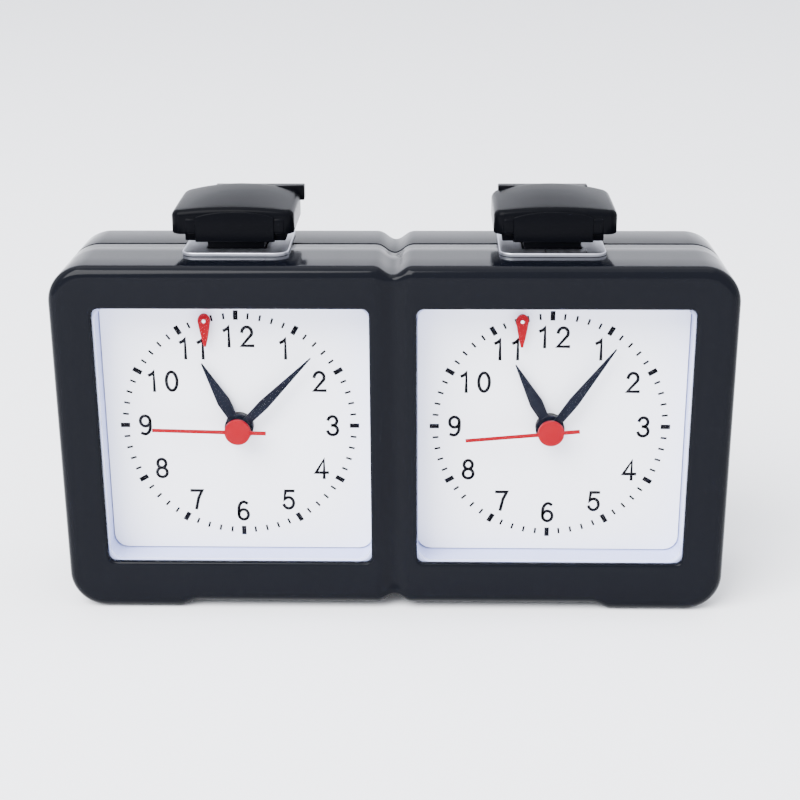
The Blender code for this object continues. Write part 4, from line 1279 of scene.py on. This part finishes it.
def cover_mesh(side):
    """Flush battery cover with rounded edges."""
    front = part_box(f"{side}_battery_cover")[0].y
    outline = front_outline(f"{side}_battery_cover", 1.5 * MM, steps=6)
    return object_from(slab("cover", outline, front, REAR_FACE_Y, 0, 0.35 * MM, 3), f"{side}_cover")


def knob_mesh(side):
    """Setting knob with a plain rim, a dished face and its stem; the knurl round the rim is grown separately.
    """
    low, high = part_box(f"{side}_setting_knob")
    knob = middle(f"{side}_setting_knob")
    radius = (high.x - low.x) / 2 - 0.35 * MM
    front = high.y - 3.6 * MM
    dish = high.y - 0.5 * MM
    stem = rounded_profile([(0, dish), (radius * 0.62, dish), (radius * 0.72, high.y), (radius, high.y),
                            (radius, front), (1.6 * MM, front), (1.6 * MM, low.y + 6.7 * MM),
                            (0.8 * MM, low.y + 6.3 * MM), (0.8 * MM, low.y), (0, low.y)], 0.35 * MM, 3)
    thing = object_from(turned("knob", stem, 72), f"{side}_knob")
    thing.data.transform(Matrix.Translation((knob.x, 0, knob.z)))
    return thing, knob, radius, front, high.y


def knurl_tree(material):
    """Geometry nodes: ribs round a knob's rim."""
    tree, given, result = geometry_tree("knurl", (
        ("Count", "NodeSocketInt", 36), ("Radius", "NodeSocketFloat", 6.4 * MM),
        ("Length", "NodeSocketFloat", 3 * MM), ("Width", "NodeSocketFloat", 0.32 * MM)))
    ring = node(tree, "GeometryNodeMeshCircle")
    rib = node(tree, "GeometryNodeMeshCylinder")
    rib.inputs["Vertices"].default_value = 10
    copies = node(tree, "GeometryNodeInstanceOnPoints")
    link = linker(tree)
    link(given, "Count", ring, "Vertices")
    link(given, "Radius", ring, "Radius")
    link(given, "Width", rib, "Radius")
    link(given, "Length", rib, "Depth")
    link(ring, "Mesh", copies, "Points")
    link(rib, "Mesh", copies, "Instance")
    return made_real(tree, copies, result, material)


def screw_mesh(number):
    """Pan-head screw with a cross recess and a plain shank."""
    low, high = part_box(f"case_screw_{number}")
    x, _, z = middle(f"case_screw_{number}")
    seat = high.y - 2.1 * MM
    profile = rounded_profile([(0, high.y), (1.9 * MM, high.y - 0.1 * MM), (2.7 * MM, high.y - 1.0 * MM),
                               (2.7 * MM, seat), (1.4 * MM, seat), (1.4 * MM, low.y + 1 * MM),
                               (0, low.y)], 0.4 * MM, 3)
    thing = object_from(turned("screw", profile, 40), f"screw_{number}")
    long, short = 1.7 * MM, 0.35 * MM
    slots = [block("slot", (-across, high.y - 1.1 * MM, -up), (across, high.y + 1 * MM, up))
             for across, up in ((long, short), (short, long))]
    combine(thing, slots, "DIFFERENCE")
    thing.data.transform(Matrix.Translation((x, 0, z)) @ Matrix.Rotation(math.radians(17 * number), 4, "Y"))
    return thing


class CLOCK_OT_back(bpy.types.Operator):
    """Builds the battery covers, the setting knobs and the screws"""
    bl_idname = "clock.back"
    bl_label = "Back"

    def execute(self, context):
        colour = context.scene.clock_case.colour
        moulded = moulded_finish("cover_plastic", colour, roughness=0.33, spread=0.10, grain=1400.0,
                                 depth=0.25, dust=0.01, mottle=0.12, Specular_IOR_Level=0.10)
        matt = moulded_finish("knob_plastic", (0.008, 0.008, 0.009), roughness=0.45, spread=0.08,
                              grain=1500.0, depth=0.3, dust=0.01, mottle=0.1, Specular_IOR_Level=0.12)
        steel = brushed_finish("screw_steel", (0.34, 0.34, 0.35), 0.36, (1.0, 0.1, 1.0))
        for side in SIDES:
            settle(cover_mesh(side), moulded, f"{side}_cover", (f"{side}_battery_cover",))
            low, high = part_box(f"{side}_battery_cover")
            tree = bpy.data.node_groups.get("grip_ribs") or rib_tree(moulded)
            ribs = grown(tree, f"{side}_cover_ribs", {"Count": 5, "Pitch": 1.5 * MM})
            place = ((low.x + high.x) / 2, REAR_FACE_Y + 0.1 * MM, low.z + 4.6 * MM)
            ribs.data.transform(Matrix.Translation(place))
            settle(ribs, moulded, f"{side}_cover")
            thing, knob, radius, front, back = knob_mesh(side)
            settle(thing, matt, f"{side}_setting", (f"{side}_setting_knob",))
            tree = bpy.data.node_groups.get("knurl") or knurl_tree(matt)
            knurl = grown(tree, f"{side}_knurl", {"Radius": radius, "Length": back - front - 0.8 * MM})
            knurl.data.transform(Matrix.Translation((knob.x, (front + back) / 2, knob.z)) @ UPRIGHT)
            settle(knurl, matt, f"{side}_setting")
        for number in range(1, 5):
            settle(screw_mesh(number), steel, "case", (f"case_screw_{number}",))
        return {"FINISHED"}


# ---------------------------------------------------------------- movements


class CLOCK_OT_movements(bpy.types.Operator):
    """Gives the inner parts their finishes"""
    bl_idname = "clock.movements"
    bl_label = "Movements"

    def execute(self, context):
        nylon = moulded_finish("gear_nylon", (0.70, 0.71, 0.66), roughness=0.45, mottle=0.05, depth=0.1)
        black = moulded_finish("movement_black", (0.018, 0.018, 0.020), roughness=0.48, dust=0.02, depth=0.3)
        white = moulded_finish("lever_white", (0.74, 0.75, 0.76), roughness=0.45, mottle=0.04)
        brass = brushed_finish("brass", (0.80, 0.58, 0.25), 0.28, (1.0, 0.1, 1.0))
        steel = brushed_finish("inner_steel", (0.58, 0.58, 0.60), 0.30, (0.1, 1.0, 1.0))
        copper = moulded_finish("wound_copper", (0.62, 0.24, 0.10), roughness=0.35, grain=2500.0, depth=0.6,
                                Metallic=0.9)
        board = moulded_finish("board_green", (0.02, 0.13, 0.05), roughness=0.35, mottle=0.2)
        jacket = moulded_finish("cell_jacket", (0.30, 0.31, 0.33), roughness=0.30, mottle=0.05, Metallic=0.6)
        groups = ((nylon, ("hour_wheel", "motion_wheel", "centre_wheel", "third_wheel", "fifth_wheel")),
                  (black, ("movement_front_plate", "movement_case")),
                  (brass, ("cannon_pinion", "fourth_wheel")),
                  (steel, ("motor_stator", "rotor", "contact_spring")), (copper, ("motor_coil",)),
                  (board, ("circuit_board",)), (jacket, ("battery",)))
        for material, names in groups:
            dress([f"{side}_{name}" for side in SIDES for name in names], material)
        dress(["rocker_lever"], white)
        dress(["rocker_pivot_pin"], steel)
        return {"FINISHED"}


# ---------------------------------------------------------------- stage


def soft_light(name, place, target, width, height, power):
    """A rectangular studio lamp that faces its target."""
    lamp = bpy.data.lights.new(name, "AREA")
    lamp.shape = "RECTANGLE"
    lamp.size = width
    lamp.size_y = height
    lamp.energy = power
    thing = bpy.data.objects.new(name, lamp)
    thing.location = place
    thing.rotation_euler = (Vector(target) - Vector(place)).to_track_quat("-Z", "Y").to_euler()
    bpy.context.scene.collection.objects.link(thing)


def studio_floor():
    """A pale sweep: flat floor that curves up far behind."""
    radius = 0.5
    profile = [(-3.0, 0.0)] + [(2.0 + radius * math.sin(t), radius - radius * math.cos(t))
                               for t in (math.pi / 2 * i / 12 for i in range(13))] + [(2.0 + radius, 3.0)]
    points = []
    for x in (-4.0, 4.0):
        points += [(x, y, z) for y, z in profile]
    count = len(profile)
    faces = [(i, i + count, i + count + 1, i + 1) for i in range(count - 1)]
    mesh = bpy.data.meshes.new("floor")
    mesh.from_pydata(points, [], faces)
    floor = object_from(mesh, "floor")
    mesh.shade_smooth()
    mesh.materials.append(moulded_finish("floor_paper", (0.91, 0.915, 0.95), roughness=0.7, grain=300.0,
                                         depth=0.02, mottle=0.01))


def studio_camera():
    """Stands in front, a little right of the middle, looking down at the dials."""
    yaw, pitch, roll = (math.radians(angle) for angle in (-1.417, 19.832, -0.279))
    forward = Vector((math.sin(yaw) * math.cos(pitch), math.cos(yaw) * math.cos(pitch), -math.sin(pitch)))
    level = Vector((math.cos(yaw), -math.sin(yaw), 0))
    upward = level.cross(forward)
    across = level * math.cos(roll) + upward * math.sin(roll)
    above = upward * math.cos(roll) - level * math.sin(roll)
    data = bpy.data.cameras.new("camera")
    data.lens = 69.94
    data.sensor_width = 36.0
    data.clip_start = 0.01
    thing = bpy.data.objects.new("camera", data)
    turn = Matrix((across, above, -forward)).transposed().to_4x4()
    thing.matrix_world = Matrix.Translation((0.01103, -0.39795, 0.19530)) @ turn
    bpy.context.scene.collection.objects.link(thing)
    bpy.context.scene.camera = thing


class CLOCK_OT_stage(bpy.types.Operator):
    """Sets the floor, the studio lights and the camera"""
    bl_idname = "clock.stage"
    bl_label = "Stage"

    def execute(self, context):
        studio_floor()
        world = bpy.data.worlds.new("studio")
        world.use_nodes = True
        world.node_tree.nodes["Background"].inputs["Color"].default_value = (0.94, 0.96, 1.0, 1.0)
        world.node_tree.nodes["Background"].inputs["Strength"].default_value = 2.2
        context.scene.world = world
        soft_light("key_light", (-0.7, -0.9, 1.3), (0, 0, 0.05), 1.2, 1.2, 85)
        soft_light("top_light", (0.0, 0.0, 1.7), (0, 0, 0.05), 1.8, 1.8, 18)
        studio_camera()
        return {"FINISHED"}


# ---------------------------------------------------------------- panel

OPERATORS = (CLOCK_OT_case, CLOCK_OT_buttons, CLOCK_OT_dials, CLOCK_OT_hands, CLOCK_OT_back,
             CLOCK_OT_movements, CLOCK_OT_stage)
SETTINGS = (("clock_case", CaseSettings), ("clock_dial", DialSettings), ("clock_button", ButtonSettings),
            ("clock_hand", HandSettings))


class CLOCK_PT_panel(bpy.types.Panel):
    """Lists the builders and their settings"""
    bl_idname = "CLOCK_PT_panel"
    bl_label = "Chess Clock"
    bl_space_type = "VIEW_3D"
    bl_region_type = "UI"
    bl_category = "Chess Clock"

    def draw(self, context):
        for name, kind in SETTINGS:
            box = self.layout.box()
            for label in kind.__annotations__:
                box.prop(getattr(context.scene, name), label)
        for operator in OPERATORS:
            self.layout.operator(operator.bl_idname)


def register():
    for name, kind in SETTINGS:
        bpy.utils.register_class(kind)
        setattr(bpy.types.Scene, name, bpy.props.PointerProperty(type=kind))
    for kind in (*OPERATORS, CLOCK_PT_panel):
        bpy.utils.register_class(kind)


def unregister():
    for kind in (CLOCK_PT_panel, *reversed(OPERATORS)):
        bpy.utils.unregister_class(kind)
    for name, kind in reversed(SETTINGS):
        delattr(bpy.types.Scene, name)
        bpy.utils.unregister_class(kind)


def main():
    register()
    bpy.ops.clock.case()
    bpy.ops.clock.buttons()
    bpy.ops.clock.dials()
    bpy.ops.clock.hands()
    bpy.ops.clock.back()
    bpy.ops.clock.movements()
    bpy.ops.clock.stage()


if __name__ == "__main__":
    main()
